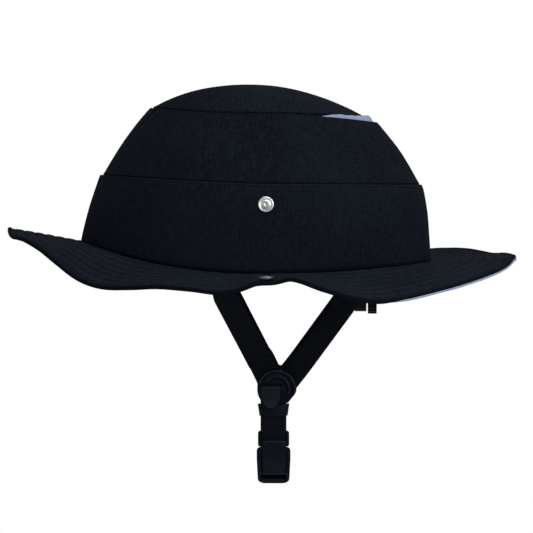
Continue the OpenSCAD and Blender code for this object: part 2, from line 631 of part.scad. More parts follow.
window_top = plug_z - 8.3;
window_h = 10.4;
barb = [[-prong_w / 2, 0], [prong_w / 2, 0], [prong_w / 2, window_top - pivot_z - 0.8],
  [prong_w / 2 + 2.6, window_top - pivot_z - 1.2], [prong_w / 2 + 2.8, window_top - pivot_z - 7],
  [prong_w / 2, window_top - pivot_z - window_h + 0.6], [-prong_w / 2, window_top - pivot_z - window_h + 0.6]];
module prong() {
  upright(-prong_y / 2, prong_y / 2) circle(r = prong_r);
  upright(-prong_y / 2, prong_y / 2) polygon(barb);
}
module prong_front() color(plastic_black) translate([strap_x - prong_x, -strap_y, pivot_z])
  mirror([1, 0, 0]) prong();
module prong_rear() color(plastic_black) translate([strap_x + prong_x, -strap_y, pivot_z]) prong();

socket_top = plug_z - fit;
socket_z = socket_top - socket_h;
pocket_w = 2 * (prong_x + prong_w / 2 + 1.4);
bar_z = socket_z + 5.6;
panel_w = 18.8;
socket_end = 12;
socket_taper = 1.6;
panel_h = 25;
module buckle_socket() color(plastic_black) translate([strap_x, -strap_y, 0]) difference() {
  union() {
    upright(-socket_t / 2, socket_t / 2) translate([0, socket_z]) hull() {
      translate([0, socket_h - socket_end / 2]) polygon(rounded(socket_w, socket_end, 3));
      translate([0, socket_end / 2]) polygon(rounded(socket_w - socket_taper, socket_end, 5.8));
    }
    upright(-socket_t / 2 - 1, -plug_t / 2 - fit) translate([0.6, socket_top + 5.4 - panel_h / 2])
      polygon(rounded(panel_w, panel_h, 3));
  }
  translate([-pocket_w / 2, -prong_y / 2 - fit, socket_top - 22]) cube([pocket_w, prong_y + 2 * fit, 23]);
  for (s = [-1, 1]) translate([s * (pocket_w / 2 + 2), 0, window_top - window_h / 2])
    cube([6, prong_y + 1, window_h], center = true);
  translate([-slot_w / 2, -socket_t, bar_z]) cube([slot_w, 2 * socket_t, 3.2]);
}

// The chin strap crosses under the chin and climbs into the right divider.
chin_z = bar_z + 1.6;
chin_path = [[-62, 0], [-52, -0.2], [-38, -2.6], [-20, -4.5], [0, -5], [20, -4.4], [38, -1],
  [52, 6.8], [61, 18.5], [65.2, 33], [strap_y, 50], [strap_y, 61]];
module chin_strap() color(web_black)
  ribbon([for (p = chin_path) [strap_x, p[0], chin_z + p[1]]],
    [for (p = chin_path) [-1, 0, 0]], web_w, web_t);

// Cover: three tiers, the vent's lining, and the brim with its lining.
// A tier runs round the crown between its outer and inner rings, which go upward.
module hoop(outer, inner) sweep([for (k = [0:around - 1]) let(a = 360 * k / around)
  concat([for (l = reverse(outer)) ring_point(l, a)], [for (l = inner) ring_point(l, a)])], true);

module side_band() color(cloth_dark)
  hoop(side_levels, [for (l = side_levels) shrink(l, cloth)]);
module middle_band() color(cloth_dark)
  hoop(concat([lower(middle_foot, tuck)], middle_levels),
    concat([shrink(lower(middle_foot, tuck), cloth)], inset(middle_levels, cloth)));
module crown_dome() color(cloth_dark) {
  outer = concat([lower(dome_foot, dome_tuck)], dome_levels);
  inner = concat([shrink(lower(dome_foot, dome_tuck), cloth)], inset(dome_levels, cloth));
  sweep(concat([for (l = reverse(inner)) ring(l)], [for (l = outer) ring(l)]));
}

vent_half = 58;
vent_t = 1.4;
module vent_lining() color(lining_blue)
  sweep([for (i = [0:16]) let(a = -vent_half + vent_half * i / 8,
      p = ring_point(lower(dome_foot, 1), a), q = ring_point(lower(shrink(top, cloth), 2.2), a),
      out = unit([q[0] - p[0], q[1] - p[1], 0]) * fit, down = [0, 0, -vent_t])
    [p + out, q - out, q - out + down, p + out + down]]);

// Height of the brim's edge above the hem plane, by bearing from the nape, as the cloth hangs.
edge_left = [[0, 9.8], [8, 8], [15, 3.2], [30, -5.5], [45, -15], [60, -24.1], [67, -22.4],
  [75, -15.4], [82, -6.6], [86, -8.6], [90, -9.6], [93.5, -14], [98, -16.8], [105, -14.2],
  [113, -12.3], [120, -13.3], [128, -13], [135, -7.1], [143, 5.3], [150, 15.1], [158, 22],
  [163, 24.2], [169, 25.6], [174, 28.5], [180, 32]];
edge_right = [[0, 9.8], [5, 10], [14, 10.6], [22, 9.6], [28, 11.2], [34, 13.8], [40, 14.6],
  [48, 13], [56, 3.6], [67, -14], [75, -13.4], [82, -6.6], [86, -8.6], [90, -9.6], [93.5, -14],
  [98, -16.8], [105, -14.2], [113, -12.3], [120, -13.3], [128, -13], [135, -7.1], [143, 5.3],
  [150, 15.1], [158, 22], [163, 24.2], [169, 25.6], [174, 28.5], [180, 32]];
edge_table = concat([for (e = edge_right) e], [for (i = [len(edge_left) - 2:-1:0])
  [360 - edge_left[i][0], edge_left[i][1]]]);
function slope(t, i) = let(n = len(t), a = t[i == 0 ? n - 2 : i - 1], b = t[i == n - 1 ? 1 : i + 1],
    da = i == 0 ? a[0] - 360 : a[0], db = i == n - 1 ? b[0] + 360 : b[0]) (b[1] - a[1]) / (db - da);
function find(t, a, i = 0) = i >= len(t) - 2 || a < t[i + 1][0] ? i : find(t, a, i + 1);
function edge_z(a) = let(w = (a % 360 + 360) % 360, t = edge_table, i = find(t, w),
    h = t[i + 1][0] - t[i][0], s = (w - t[i][0]) / h, m0 = slope(t, i) * h, m1 = slope(t, i + 1) * h)
  (2 * pow(s, 3) - 3 * pow(s, 2) + 1) * t[i][1] + (pow(s, 3) - 2 * pow(s, 2) + s) * m0
  + (-2 * pow(s, 3) + 3 * pow(s, 2)) * t[i + 1][1] + (pow(s, 3) - pow(s, 2)) * m1;

brim_drop = 0.9;
brim_root = shrink(lower(hem, brim_drop), cloth - fit);
brim_edge = [brim_front, brim_rear, brim_half, 0, 0, 0, 1];
brim_t = brim_cloth + lining;
brim_swell = 0.25;
// A point of the brim's top face: a is the bearing, t runs from the root to the edge.
function brim_point(a, t) = let(p = ring_point(brim_root, a), q = ring_point(brim_edge, a),
    top_z = edge_z(a) + brim_t)
  [p[0] + (q[0] - p[0]) * t, p[1] + (q[1] - p[1]) * t,
   p[2] + (top_z - p[2]) * t + 4 * brim_swell * t * (1 - t)];
function fold_t(a) = let(s = abs(sin(a)), p = brim_root[2] * s, q = brim_half * s)
  q <= fold_y ? 1 : max(0, (fold_y - p) / (q - p));
fold_a = asin(fold_y / brim_half);
function spread(a0, a1, n) = [for (i = [0:n - 1]) a0 + (a1 - a0) * i / n];
brim_bearings = concat(spread(-fold_a, fold_a, 14), spread(fold_a, 180 - fold_a, 20),
  spread(180 - fold_a, 180 + fold_a, 14), spread(180 + fold_a, 360 - fold_a, 20));
brim_cells = 4;
function brim_section(a, t0, t1, d0, d1) = concat(
  [for (j = [0:brim_cells]) brim_point(a, t0 + (t1 - t0) * j / brim_cells) - [0, 0, d0]],
  [for (j = [brim_cells:-1:0]) brim_point(a, t0 + (t1 - t0) * j / brim_cells) - [0, 0, d1]]);
function flap_section(a, d0, d1) = let(n = 3, t0 = fold_t(a)) concat(
  [for (j = [0:n]) brim_point(a, t0 + (1 - t0) * j / n) - [0, 0, d0]],
  [for (j = [n:-1:0]) brim_point(a, t0 + (1 - t0) * j / n) - [0, 0, d1]]);
module brim_ring(d0, d1)
  sweep([for (a = brim_bearings) brim_section(a, 0, fold_t(a), d0, d1)], true);
flap_end = 0.5;
module brim_flap(mid, d0, d1) {
  a0 = mid - 90 + fold_a;
  a1 = mid + 90 - fold_a;
  inner = spread(a0, a1, 20);
  bearings = concat([a0 + flap_end], [for (i = [1:19]) inner[i]], [a1 - flap_end]);
  sweep([for (a = bearings) flap_section(a, d0, d1)]);
}
module brim() color(brim_dark) brim_ring(0, brim_cloth);
module brim_lining() color(lining_blue) brim_ring(brim_cloth, brim_t);
module brim_flap_left() color(brim_dark) brim_flap(270, 0, brim_cloth);
module brim_flap_right() color(brim_dark) brim_flap(90, 0, brim_cloth);
module flap_lining_left() color(lining_blue) brim_flap(270, brim_cloth, brim_t);
module flap_lining_right() color(lining_blue) brim_flap(90, brim_cloth, brim_t);

// Press snaps: a stud on each side band, and a socket on each side of the brim that meets it.
snap_lift = 0.5;
band_at = hem_half + (seam[2] - hem_half) * snap_z / seam_z + band_swell * sin(180 * snap_z / seam_z);
snap_lean = atan((hem_half - seam[2]) / seam_z);
module on_band(out) translate([snap_x, -band_at, snap_z]) rotate([90 - snap_lean, 0, 0])
  translate([0, 0, out]) children();
module stud() on_band(snap_lift) {
  difference() {
    cylinder(d = snap_d, h = snap_t);
    translate([0, 0, 0.4]) rotate_extrude() translate([snap_d / 2 - 2.2, 0]) square([1.2, snap_t]);
  }
  cylinder(d = stud_d, h = snap_t + stud_h);
}
module side_snap_left() color(metal) stud();
module side_snap_right() color(metal) mirror([0, 1, 0]) stud();

socket_disc = stud_h + 0.9;
// The brim's side folds until its socket, which lies on the brim at rest, sits on the stud.
socket_back = snap_lift + snap_t + fit + socket_disc;
socket_seat = [fold_y - band_at - socket_back * cos(snap_lean),
  snap_z - fold_z + socket_back * sin(snap_lean)];
socket_reach = asin((snap_x + snap_d / 2) / brim_rear);
socket_rest = max([for (a = [270:0.5:270 + socket_reach]) brim_point(a, 0.78)[2]]) + fit;
fold_angle = atan2(socket_seat[0], socket_seat[1])
  + acos((socket_rest - fold_z) / norm(socket_seat));
module snap_socket() translate([0, -fold_y, fold_z]) rotate([fold_angle, 0, 0])
  translate([0, fold_y, -fold_z]) on_band(snap_lift + snap_t + fit) difference() {
    cylinder(d = snap_d, h = socket_disc);
    translate([0, 0, -1]) cylinder(d = stud_d + 2 * fit, h = stud_h + 1 + 0.2);
  }
module brim_snap_left() color(metal) snap_socket();
module brim_snap_right() color(metal) mirror([0, 1, 0]) snap_socket();

outer_shell();
foam_liner();
rim_trim();
front_pad();
side_pad_left();
side_pad_right();
crown_pad();
pad_dots();
strap_anchors();
band_rivets();
fit_band_left();
fit_band_right();
cradle_hangers();
cradle_housing();
cradle_cover();
cradle_screws();
nape_pad();
dial_knob();
dial_pinion();
dial_screw();
rack_left();
rack_right();
front_strap_left();
front_strap_right();
rear_strap_left();
rear_strap_right();
divider_left();
divider_right();
divider_lever_left();
divider_lever_right();
lever_pin_left();
lever_pin_right();
strap_keeper();
buckle_plug();
prong_front();
prong_rear();
buckle_socket();
chin_strap();
crown_dome();
middle_band();
side_band();
vent_lining();
brim();
brim_lining();
brim_flap_left();
brim_flap_right();
flap_lining_left();
flap_lining_right();
side_snap_left();
side_snap_right();
brim_snap_left();
brim_snap_right();
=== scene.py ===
import math
import bmesh
import bpy
import numpy as np
from mathutils import Matrix, Vector


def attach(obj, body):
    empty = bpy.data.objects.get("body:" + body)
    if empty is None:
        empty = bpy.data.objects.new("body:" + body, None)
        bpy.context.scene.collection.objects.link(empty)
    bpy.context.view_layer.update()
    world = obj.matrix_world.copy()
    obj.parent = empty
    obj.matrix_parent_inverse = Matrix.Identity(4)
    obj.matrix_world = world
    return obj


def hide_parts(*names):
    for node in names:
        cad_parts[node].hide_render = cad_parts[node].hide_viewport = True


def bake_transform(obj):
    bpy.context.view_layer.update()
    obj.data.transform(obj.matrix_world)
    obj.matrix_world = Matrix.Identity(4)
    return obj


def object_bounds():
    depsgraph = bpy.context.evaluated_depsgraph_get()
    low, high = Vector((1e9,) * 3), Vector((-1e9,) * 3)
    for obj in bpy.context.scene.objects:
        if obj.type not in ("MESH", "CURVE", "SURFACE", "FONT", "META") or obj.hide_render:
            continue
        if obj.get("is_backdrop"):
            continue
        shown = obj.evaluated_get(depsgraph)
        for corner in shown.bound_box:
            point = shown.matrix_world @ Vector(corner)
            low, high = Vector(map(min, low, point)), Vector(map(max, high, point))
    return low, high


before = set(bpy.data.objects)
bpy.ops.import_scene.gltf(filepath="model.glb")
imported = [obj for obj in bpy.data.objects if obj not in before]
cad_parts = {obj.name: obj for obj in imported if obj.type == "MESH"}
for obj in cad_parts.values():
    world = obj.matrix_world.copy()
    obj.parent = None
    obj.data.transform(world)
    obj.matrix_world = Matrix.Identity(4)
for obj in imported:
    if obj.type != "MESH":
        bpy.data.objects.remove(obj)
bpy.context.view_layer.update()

mm = 0.001
scene = bpy.context.scene
front, rear, half, frontZ, rearZ, sideZ, bend = range(7)  # the seven numbers of a ring round the crown


def smoothStep(x, low, high):
    t = np.clip((x - low) / (high - low), 0, 1)
    return t * t * (3 - 2 * t)


def bump(x, middle, width):
    return np.exp(-((x - middle) / width) ** 2)


def plateau(x, low, high, stays, ends):
    return smoothStep(x, low, high) * (1 - smoothStep(x, stays, ends))


def roundOff(x, least=0):
    # A quarter circle from the edge at 0 up to 1
    return np.sqrt(np.clip(1 - (1 - np.clip(x, 0, 1)) ** 2, least, 1))


def newObject(name, mesh, look):
    piece = bpy.data.objects.new(name, mesh)
    scene.collection.objects.link(piece)
    mesh.materials.clear()
    mesh.materials.append(look)
    return piece


def unit(v):
    return v / np.maximum(np.linalg.norm(v, axis=-1, keepdims=True), 1e-9)


def arcLength(points):
    return np.concatenate([[0], np.cumsum(np.linalg.norm(np.diff(points, axis=0), axis=-1))])


def clothMap(along, up):
    # UVs from distances along and up a cloth
    return np.stack(np.broadcast_arrays(along[:, None], up), -1)


def hermite(t, h, low, high, lowSlope, highSlope):
    # From low to high over the width h, with these slopes at its ends
    return ((2 * t ** 3 - 3 * t ** 2 + 1) * low + (t ** 3 - 2 * t ** 2 + t) * lowSlope * h
            + (3 * t ** 2 - 2 * t ** 3) * high + (t ** 3 - t ** 2) * highSlope * h)


def writeBack(work, mesh, sharpAngle):
    work.to_mesh(mesh)
    work.free()
    mesh.shade_smooth()
    mesh.set_sharp_from_angle(angle=math.radians(sharpAngle))


def tidyMesh(mesh, sharpAngle):
    work = bmesh.new()
    work.from_mesh(mesh)
    bmesh.ops.remove_doubles(work, verts=work.verts, dist=1e-6)
    bmesh.ops.delete(work, geom=[e for e in work.edges if not e.link_faces], context="EDGES")
    bmesh.ops.recalc_face_normals(work, faces=work.faces)
    writeBack(work, mesh, sharpAngle)


def loft(name, sections, look, loop=False, closed=True, cloth=None, sharpAngle=50, worn=None):
    # sections (n, m, 3) in mm. loop joins the last section to the first, closed joins an outline's ends.
    # cloth (n or n + 1, m or m + 1, 2) are the UVs in metres. The last table (n, m) is darker above 0, paler below:
    # painted shade and painted highlight on the cover's tiers, a darker edge and side seams on the brim.
    n, m = sections.shape[:2]
    i, j = np.meshgrid(np.arange(n if loop else n - 1), np.arange(m if closed else m - 1), indexing="ij")
    i2, j2 = (i + 1) % n, (j + 1) % m
    quads = np.stack([i * m + j, i * m + j2, i2 * m + j2, i2 * m + j], -1).reshape(-1, 4)
    faces = quads.tolist()
    corners = None
    if cloth is not None:
        corners = np.stack([cloth[i, j], cloth[i, j + 1], cloth[i + 1, j + 1], cloth[i + 1, j]], -2).reshape(-1, 2)
    if not loop and closed:  # ladders of quads shut both ends
        for start in (0, (n - 1) * m):
            for k in range(m // 2 - 1):
                faces.append([start + k, start + k + 1, start + m - 2 - k, start + m - 1 - k])
        if corners is not None:
            corners = np.concatenate([corners, np.zeros((2 * 4 * (m // 2 - 1), 2))])
    mesh = bpy.data.meshes.new(name)
    mesh.from_pydata((sections.reshape(-1, 3) * mm).tolist(), [], faces)
    if corners is not None:
        mesh.uv_layers.new(name="cloth").data.foreach_set("uv", corners.ravel())
    if worn is not None:
        # A point attribute of painted shade and painted light, and of the brim's darker edge and seams
        mesh.attributes.new("worn", "FLOAT", "POINT").data.foreach_set("value", np.broadcast_to(worn, (n, m)).ravel())
    tidyMesh(mesh, sharpAngle)
    return newObject(name, mesh, look)


def lathe(name, profile, place, look):
    # profile: (radius, height) from one end of the axis to the other, in mm; both ends lie on the axis
    steps, sharpAngle = 64, 40
    turn = np.linspace(0, 2 * np.pi, steps, endpoint=False)[:, None]
    r, z = np.array(profile, float).T
    points = np.stack(np.broadcast_arrays(np.cos(turn) * r, np.sin(turn) * r, z), -1)
    piece = loft(name, points, look, loop=True, closed=False, sharpAngle=sharpAngle)
    piece.data.transform(place)
    tidyMesh(piece.data, sharpAngle)  # a mirrored place turns the faces
    return piece


def pieceName(node):
    # sideBand for side_band
    words = node.split("_")
    return words[0] + "".join(word.title() for word in words[1:])


def dress(piece, slotName, body, *nodes):
    # The CAD nodes that the piece stands in for, and the body that carries all of it. The slot is not used.
    if nodes:
        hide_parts(*nodes)
    if body:
        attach(piece, body)
    return piece


def asSheet(width, length):
    # Takes a flat size in mm and does nothing with it
    length * mm


def soften(node, look, width):
    # A copy of a CAD node with its edges rounded off
    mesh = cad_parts[node].data.copy()
    mesh.name = pieceName(node)
    work = bmesh.new()
    work.from_mesh(mesh)
    bmesh.ops.remove_doubles(work, verts=work.verts, dist=2e-6)
    bmesh.ops.dissolve_limit(work, angle_limit=math.radians(1), verts=work.verts, edges=work.edges)
    edges = [e for e in work.edges if len(e.link_faces) == 2 and e.calc_face_angle(0) > math.radians(32)]
    bmesh.ops.bevel(work, geom=edges, offset=width * mm, segments=2, profile=0.6, affect="EDGES",
                    clamp_overlap=True)
    writeBack(work, mesh, 38)
    return newObject(pieceName(node), mesh, look)


class Wire:
    # One output of a shader node. Maths on it adds Math nodes.
    def __init__(self, tree, out=None):
        self.tree, self.out = tree, out

    def add(self, kind, settings=None, inputs=None, out=0):
        node = self.tree.nodes.new(kind)
        for key, value in (settings or {}).items():
            setattr(node, key, value)
        for key, value in (inputs or {}).items():
            if isinstance(value, Wire):
                self.tree.links.new(value.out, node.inputs[key])
            else:
                node.inputs[key].default_value = value
        return Wire(self.tree, node.outputs[out])

    def maths(self, operation, *values):
        return self.add("ShaderNodeMath", {"operation": operation}, dict(enumerate(values)))

    def __add__(self, other):
        return self.maths("ADD", self, other)

    def __radd__(self, other):
        return self.maths("ADD", other, self)

    def __sub__(self, other):
        return self.maths("SUBTRACT", self, other)

    def __rsub__(self, other):
        return self.maths("SUBTRACT", other, self)

    def __mul__(self, other):
        return self.maths("MULTIPLY", self, other)

    def __rmul__(self, other):
        return self.maths("MULTIPLY", other, self)

    def sine(self):
        return self.maths("SINE", self)

    def size(self):
        return self.maths("ABSOLUTE", self)

    def part(self):
        return self.maths("FRACT", self)

    def grow(self, low, high):  # 0 below low, 1 above high
        return self.add("ShaderNodeMapRange", {"interpolation_type": "SMOOTHSTEP"},
                        {"Value": self, "From Min": low, "From Max": high})

    def blend(self, low, high):  # a colour between two, by this mask
        return self.add("ShaderNodeMix", {"data_type": "RGBA"}, {"Factor": self, 6: (*low, 1.0), 7: (*high, 1.0)}, 2)


def startLook(name, **constants):
    look = bpy.data.materials.new(name)
    look.use_nodes = True
    tree = look.node_tree
    tree.nodes.clear()
    surface = tree.nodes.new("ShaderNodeBsdfPrincipled")
    tree.links.new(surface.outputs[0], tree.nodes.new("ShaderNodeOutputMaterial").inputs[0])
    for key, value in constants.items():
        surface.inputs[key.replace("_", " ")].default_value = value
    return look, surface


def finishLook(look, surface, mask, low, high, roughness, height, distance, strength=0.6, **others):
    # The colour runs from low to high by the mask; the height makes a relief of this distance in metres
    relief = height.add("ShaderNodeBump", None, {"Height": height, "Distance": distance, "Strength": strength})
    wires = {"Base Color": mask.blend(low, high), "Roughness": roughness, "Normal": relief, **others}
    for socket, wire in wires.items():
        look.node_tree.links.new(wire.out, surface.inputs[socket.replace("_", " ")])
    return look


def spacePlace(look):
    return Wire(look.node_tree).add("ShaderNodeTexCoord", None, None, 3)


def clothPlace(look):
    # The UV map in metres: along the cloth, and up it
    vector = Wire(look.node_tree).add("ShaderNodeUVMap", {"uv_map": "cloth"})
    axes = vector.add("ShaderNodeSeparateXYZ", None, {0: vector})
    return vector, axes, Wire(axes.tree, axes.out.node.outputs[1])


def noise(vector, scale, detail=3.0):
    return vector.add("ShaderNodeTexNoise", None,
                      {"Vector": vector, "Scale": scale, "Detail": detail, "Roughness": 0.55})


def stretch(vector, *scale):
    return vector.add("ShaderNodeMapping", None, {"Vector": vector, "Scale": scale})


def times(tint, share):
    return tuple(min(1.0, c * share) for c in tint)


def wovenLook(name, tint, shade, slub=0.75, rows=None, roughness=0.88, sheen=0.006):
    look, surface = startLook(name, Specular_IOR_Level=0.03, Sheen_Weight=sheen, Sheen_Roughness=0.5,
                              Sheen_Tint=(0.55, 0.65, 0.85, 1.0))
    vector, u, v = clothPlace(look)
    turns = math.pi / 0.00058  # a yarn's width in metres
    weave = (u * turns).sine() * (v * turns).sine()
    across = noise(stretch(vector, 130, 800, 1), 1.0)  # thick and thin yarns one way
    along = noise(stretch(vector, 800, 110, 1), 1.0)  # and the other way
    patches = noise(vector, 16.0, 4.0)
    tone = (across - 0.5) * slub + (along - 0.5) * slub * 1.3 + (patches - 0.5) * 0.5 + weave * 0.08 + 0.45
    # Darker or paler by the mesh's attribute: painted shade and painted highlight on the cover, a darker edge and
    # seams on the brim
    tone = tone - vector.add("ShaderNodeAttribute", {"attribute_name": "worn"}, None, 2)
    if rows:  # painted shade in the sewn rows of the quilting, where the cloth is drawn in
        near = ((v * (1 / rows["width"]) - rows["first"]) * (1 / rows["step"]) + 0.5).part() - 0.5
        tone = tone - (1 - near.size().grow(0.0, rows["soft"])) * rows["dark"]
    return finishLook(look, surface, tone.grow(0.0, 1.0), shade, tint, patches * 0.12 + (roughness - 0.06),
                      weave * 0.35 + across * 0.5 + along * 0.6, 0.00022, 0.55)


def webbingLook(name, tint, shade):
    rib, cord = 0.00105, 0.0019  # metres
    look, surface = startLook(name, Specular_IOR_Level=0.05, Sheen_Weight=0.004, Sheen_Roughness=0.4)
    vector, u, v = clothPlace(look)
    slant = (v * (1 / cord) + 0.25).part() - 0.5  # columns of slanting ribs, each way in turn
    ribs = ((u * (1 / rib) + slant.size() * 1.6).part() - 0.5).size() * 2
    columns = slant.size() * 2
    fuzz = noise(vector, 900.0, 2.0)
    tone = ribs * 0.5 + columns * 0.25 + (fuzz - 0.5) * 0.5
    return finishLook(look, surface, tone.grow(0.0, 0.9), shade, tint, fuzz * 0.2 + 0.55,
                      ribs * 0.6 + columns * 0.4 + fuzz * 0.2, 0.0003, 0.7)


def plasticLook(name, tint, roughness, specular):
    look, surface = startLook(name, Specular_IOR_Level=specular)
    place = spacePlace(look)
    fine, broad = noise(place, 2600.0, 2.0), noise(place, 90.0, 4.0)
    return finishLook(look, surface, broad.grow(0.35, 0.7), tint, times(tint, 1.25),
                      fine * 0.12 + broad * 0.16 + (roughness - 0.14), fine, 0.00003)


def shellLook(name, tint):
    look, surface = startLook(name, Specular_IOR_Level=0.5, Coat_Roughness=0.08)
    place = spacePlace(look)
    peel, scuff = noise(place, 420.0, 2.0), noise(stretch(place, 40, 700, 700), 1.0)
    return finishLook(look, surface, scuff.grow(0.62, 0.75), tint, times(tint, 1.8),
                      scuff.grow(0.5, 0.8) * 0.15 + 0.24, peel, 0.00005, 0.5, Coat_Weight=peel * 0.3 + 0.35)


def beadFoamLook(name, tint):
    look, surface = startLook(name, Specular_IOR_Level=0.25)
    place = spacePlace(look)
    cells = {"Vector": place, "Scale": 290.0}
    ids = place.add("ShaderNodeTexVoronoi", None, cells, 1)
    grey = ids.add("ShaderNodeSeparateColor", None, {0: ids})
    edge = place.add("ShaderNodeTexVoronoi", {"feature": "DISTANCE_TO_EDGE"}, cells).grow(0.0, 0.12)
    return finishLook(look, surface, edge * (grey * 0.35 + 0.65), times(tint, 0.45), tint, grey * 0.15 + 0.62,
                      edge, 0.0004)


def padLook(name, tint):
    look, surface = startLook(name, Specular_IOR_Level=0.1, Sheen_Weight=0.12, Sheen_Roughness=0.5)
    vector, u, v = clothPlace(look)
    holes = ((u * (math.pi / 0.0011)).sine() * (v * (math.pi / 0.0014)).sine()).size()
    fuzz = noise(vector, 300.0)
    return finishLook(look, surface, (holes * 0.5 + fuzz * 0.6).grow(0.1, 0.9), times(tint, 0.5), tint,
                      fuzz * 0.15 + 0.8, holes + fuzz * 0.5, 0.0003)


def metalLook(name, tint, roughness):
    look, surface = startLook(name)
    place = spacePlace(look)
    scuffs, spots = noise(place, 700.0), noise(place, 180.0, 4.0)
    return finishLook(look, surface, spots.grow(0.3, 0.7), times(tint, 0.86), tint,
                      spots * 0.12 + scuffs * 0.1 + (roughness - 0.1), scuffs, 0.00002, 0.5,
                      Metallic=1 - scuffs.grow(0.75, 0.9) * 0.2)


def rubberLook(name, tint):
    look, surface = startLook(name, Specular_IOR_Level=0.3)
    place = spacePlace(look)
    grain, dust = noise(place, 1500.0, 2.0), noise(place, 60.0, 4.0)
    return finishLook(look, surface, dust.grow(0.4, 0.75), tint, times(tint, 1.6),
                      grain * 0.1 + dust * 0.15 + 0.62, grain, 0.00004, 0.5)


# dark: the strength of the painted shade along the sewn rows
brimRows = {"width": 0.067, "first": 0.10, "step": 0.135, "count": 7, "soft": 0.15, "dark": 0.36}
paleCloth = {"slub": 0.5, "roughness": 0.7, "sheen": 0.05}
coverCloth = wovenLook("cover cloth", (0.0105, 0.0142, 0.0215), (0.0020, 0.0030, 0.0052))
brimCloth = wovenLook("brim cloth", (0.0125, 0.0165, 0.0245), (0.0030, 0.0043, 0.0072), rows=brimRows)
liningCloth = wovenLook("lining cloth", (0.47, 0.56, 0.77), (0.28, 0.35, 0.52), **paleCloth)
# The lining cloth made darker: painted shade on the strip in the gap behind the dome
shadedVentLining = wovenLook("vent lining painted shade", (0.36, 0.43, 0.58), (0.19, 0.24, 0.36), **paleCloth)
webbingBlack = webbingLook("chin webbing", (0.0062, 0.0082, 0.0130), (0.0014, 0.0019, 0.0032))
threadLook = plasticLook("sewing thread", (0.0065, 0.009, 0.014), 0.7, 0.06)
darkThread = plasticLook("dark thread", (0.0012, 0.0018, 0.003), 0.8, 0.03)
bucklePlastic = plasticLook("buckle plastic", (0.0022, 0.0042, 0.0086), 0.32, 0.1)
# The buckle plastic made paler: a painted highlight on the rims and bars
buckleHighlight = plasticLook("buckle painted highlight", (0.0065, 0.0095, 0.0155), 0.34, 0.25)
# The buckle's black plastic made paler: painted light on the levers
leverLitPlastic = plasticLook("lever plastic painted light", (0.0048, 0.0064, 0.0100), 0.34, 0.16)
# Near-black plastic: painted shade in the angles beside the rims and round the socket panel
buckleShade = plasticLook("buckle painted shade", (0.0006, 0.0009, 0.0016), 0.8, 0.02)
fitPlastic = plasticLook("fit system plastic", (0.0022, 0.0029, 0.0044), 0.5, 0.07)
shellPlastic = shellLook("shell plastic", (0.02, 0.0215, 0.025))
beadFoam = beadFoamLook("bead foam", (0.045, 0.046, 0.05))
padFabric = padLook("pad fabric", (0.035, 0.036, 0.042))
brightNickel = metalLook("bright nickel", (0.96, 0.96, 0.98), 0.34)
dullNickel = metalLook("dull nickel", (0.19, 0.20, 0.23), 0.4)
trimRubber = rubberLook("rim rubber", (0.018, 0.019, 0.021))
print("materials done")


def tan(degrees):
    return math.tan(math.radians(degrees))


cover = {"cloth": 2.2, "tuck": 8.0, "lap": 2.5, "sideSwell": 1.2, "middleSwell": 1.8, "ventGap": 9.8,
         "crownZ": 148.4, "domeMiddle": -6.0, "domePower": 2.15, "bearings": 300}
hemRing = np.array([140, 140, 111, 24, 8, 0, 2.0])
seamRing = np.array([140 - (76.4 - 24) * tan(15.3) - 1, 140 - (68.5 - 8) * tan(7), 111 - 70 * tan(10) + 2.3,
                     76.4, 68.5, 70, 1.2])
topRing = np.array([84.4, 96.8, 71, 130.2, 118.6, 125.5, 2.0])


def ringPoints(ring, a):
    # ring (..., S, 7) and bearings (A,) in radians give points (A, S, 3)
    ring = np.atleast_2d(ring)
    c, s = np.cos(a)[:, None], np.sin(a)[:, None]
    toEnd = np.where(c < 0, ring[:, frontZ], ring[:, rearZ]) - ring[:, sideZ]
    return np.stack([np.where(c < 0, ring[:, front], ring[:, rear]) * c, ring[:, half] * s,
                     ring[:, sideZ] + toEnd * np.abs(c) ** ring[:, bend]], -1)


def shrink(ring, d):
    return ring - np.array([1, 1, 1, 0, 0, 0, 0]) * d


def lower(ring, d):
    return ring - np.array([0, 0, 0, 1, 1, 1, 0]) * d


def push(ring, low, high, d):
    out = np.array(ring, float)
    for reach, height in ((front, frontZ), (rear, rearZ), (half, sideZ)):
        run, rise = high[reach] - low[reach], high[height] - low[height]
        out[..., reach] += d * rise / math.hypot(run, rise)
        out[..., height] -= d * run / math.hypot(run, rise)
    return out


def tierRings(low, high, swell, u):
    u = np.atleast_1d(u)[:, None]
    return push(low + (high - low) * u, low, high, swell * np.sin(np.pi * u[:, 0]))


middleFoot = shrink(seamRing, cover["lap"])
domeFoot = np.array([topRing[0] - cover["lap"], topRing[1] - cover["ventGap"], topRing[2] - cover["lap"],
                     130.2, 122.6, 126.0, 2.0])


def domeRing(q):
    q = np.atleast_1d(q).astype(float)
    rise = 1 - q ** cover["domePower"]
    out = np.empty((len(q), 7))
    out[:, front] = domeFoot[0] * q - cover["domeMiddle"] * (1 - q)
    out[:, rear] = domeFoot[1] * q + cover["domeMiddle"] * (1 - q)
    out[:, half] = domeFoot[2] * q
    for k in (frontZ, rearZ, sideZ):
        out[:, k] = domeFoot[k] + (cover["crownZ"] - domeFoot[k]) * rise
    out[:, bend] = 2
    return out


# A tier is a function of the bearing a and of the distance s up it from its lower edge, in mm
sideLength, middleLength, domeLength = 72.0, 63.0, 92.0
middleEnd, domeTuck = cover["tuck"] + middleLength, 0.6 * cover["tuck"]
domePole = np.array([cover["domeMiddle"] + 1.0, 0, cover["crownZ"]])
domeCap = 0.16


def hang(rings, s, tuck):
    # Below its tuck a tier hangs straight down, behind the one under it
    return lower(rings, np.clip(tuck - s, 0, None)[:, None])


def sideAt(a, s):
    return ringPoints(tierRings(hemRing, seamRing, cover["sideSwell"], s / sideLength), a)


def middleAt(a, s):
    climb = np.clip(s - cover["tuck"], 0, None) / middleLength
    return ringPoints(hang(tierRings(middleFoot, topRing, cover["middleSwell"], climb), s, cover["tuck"]), a)


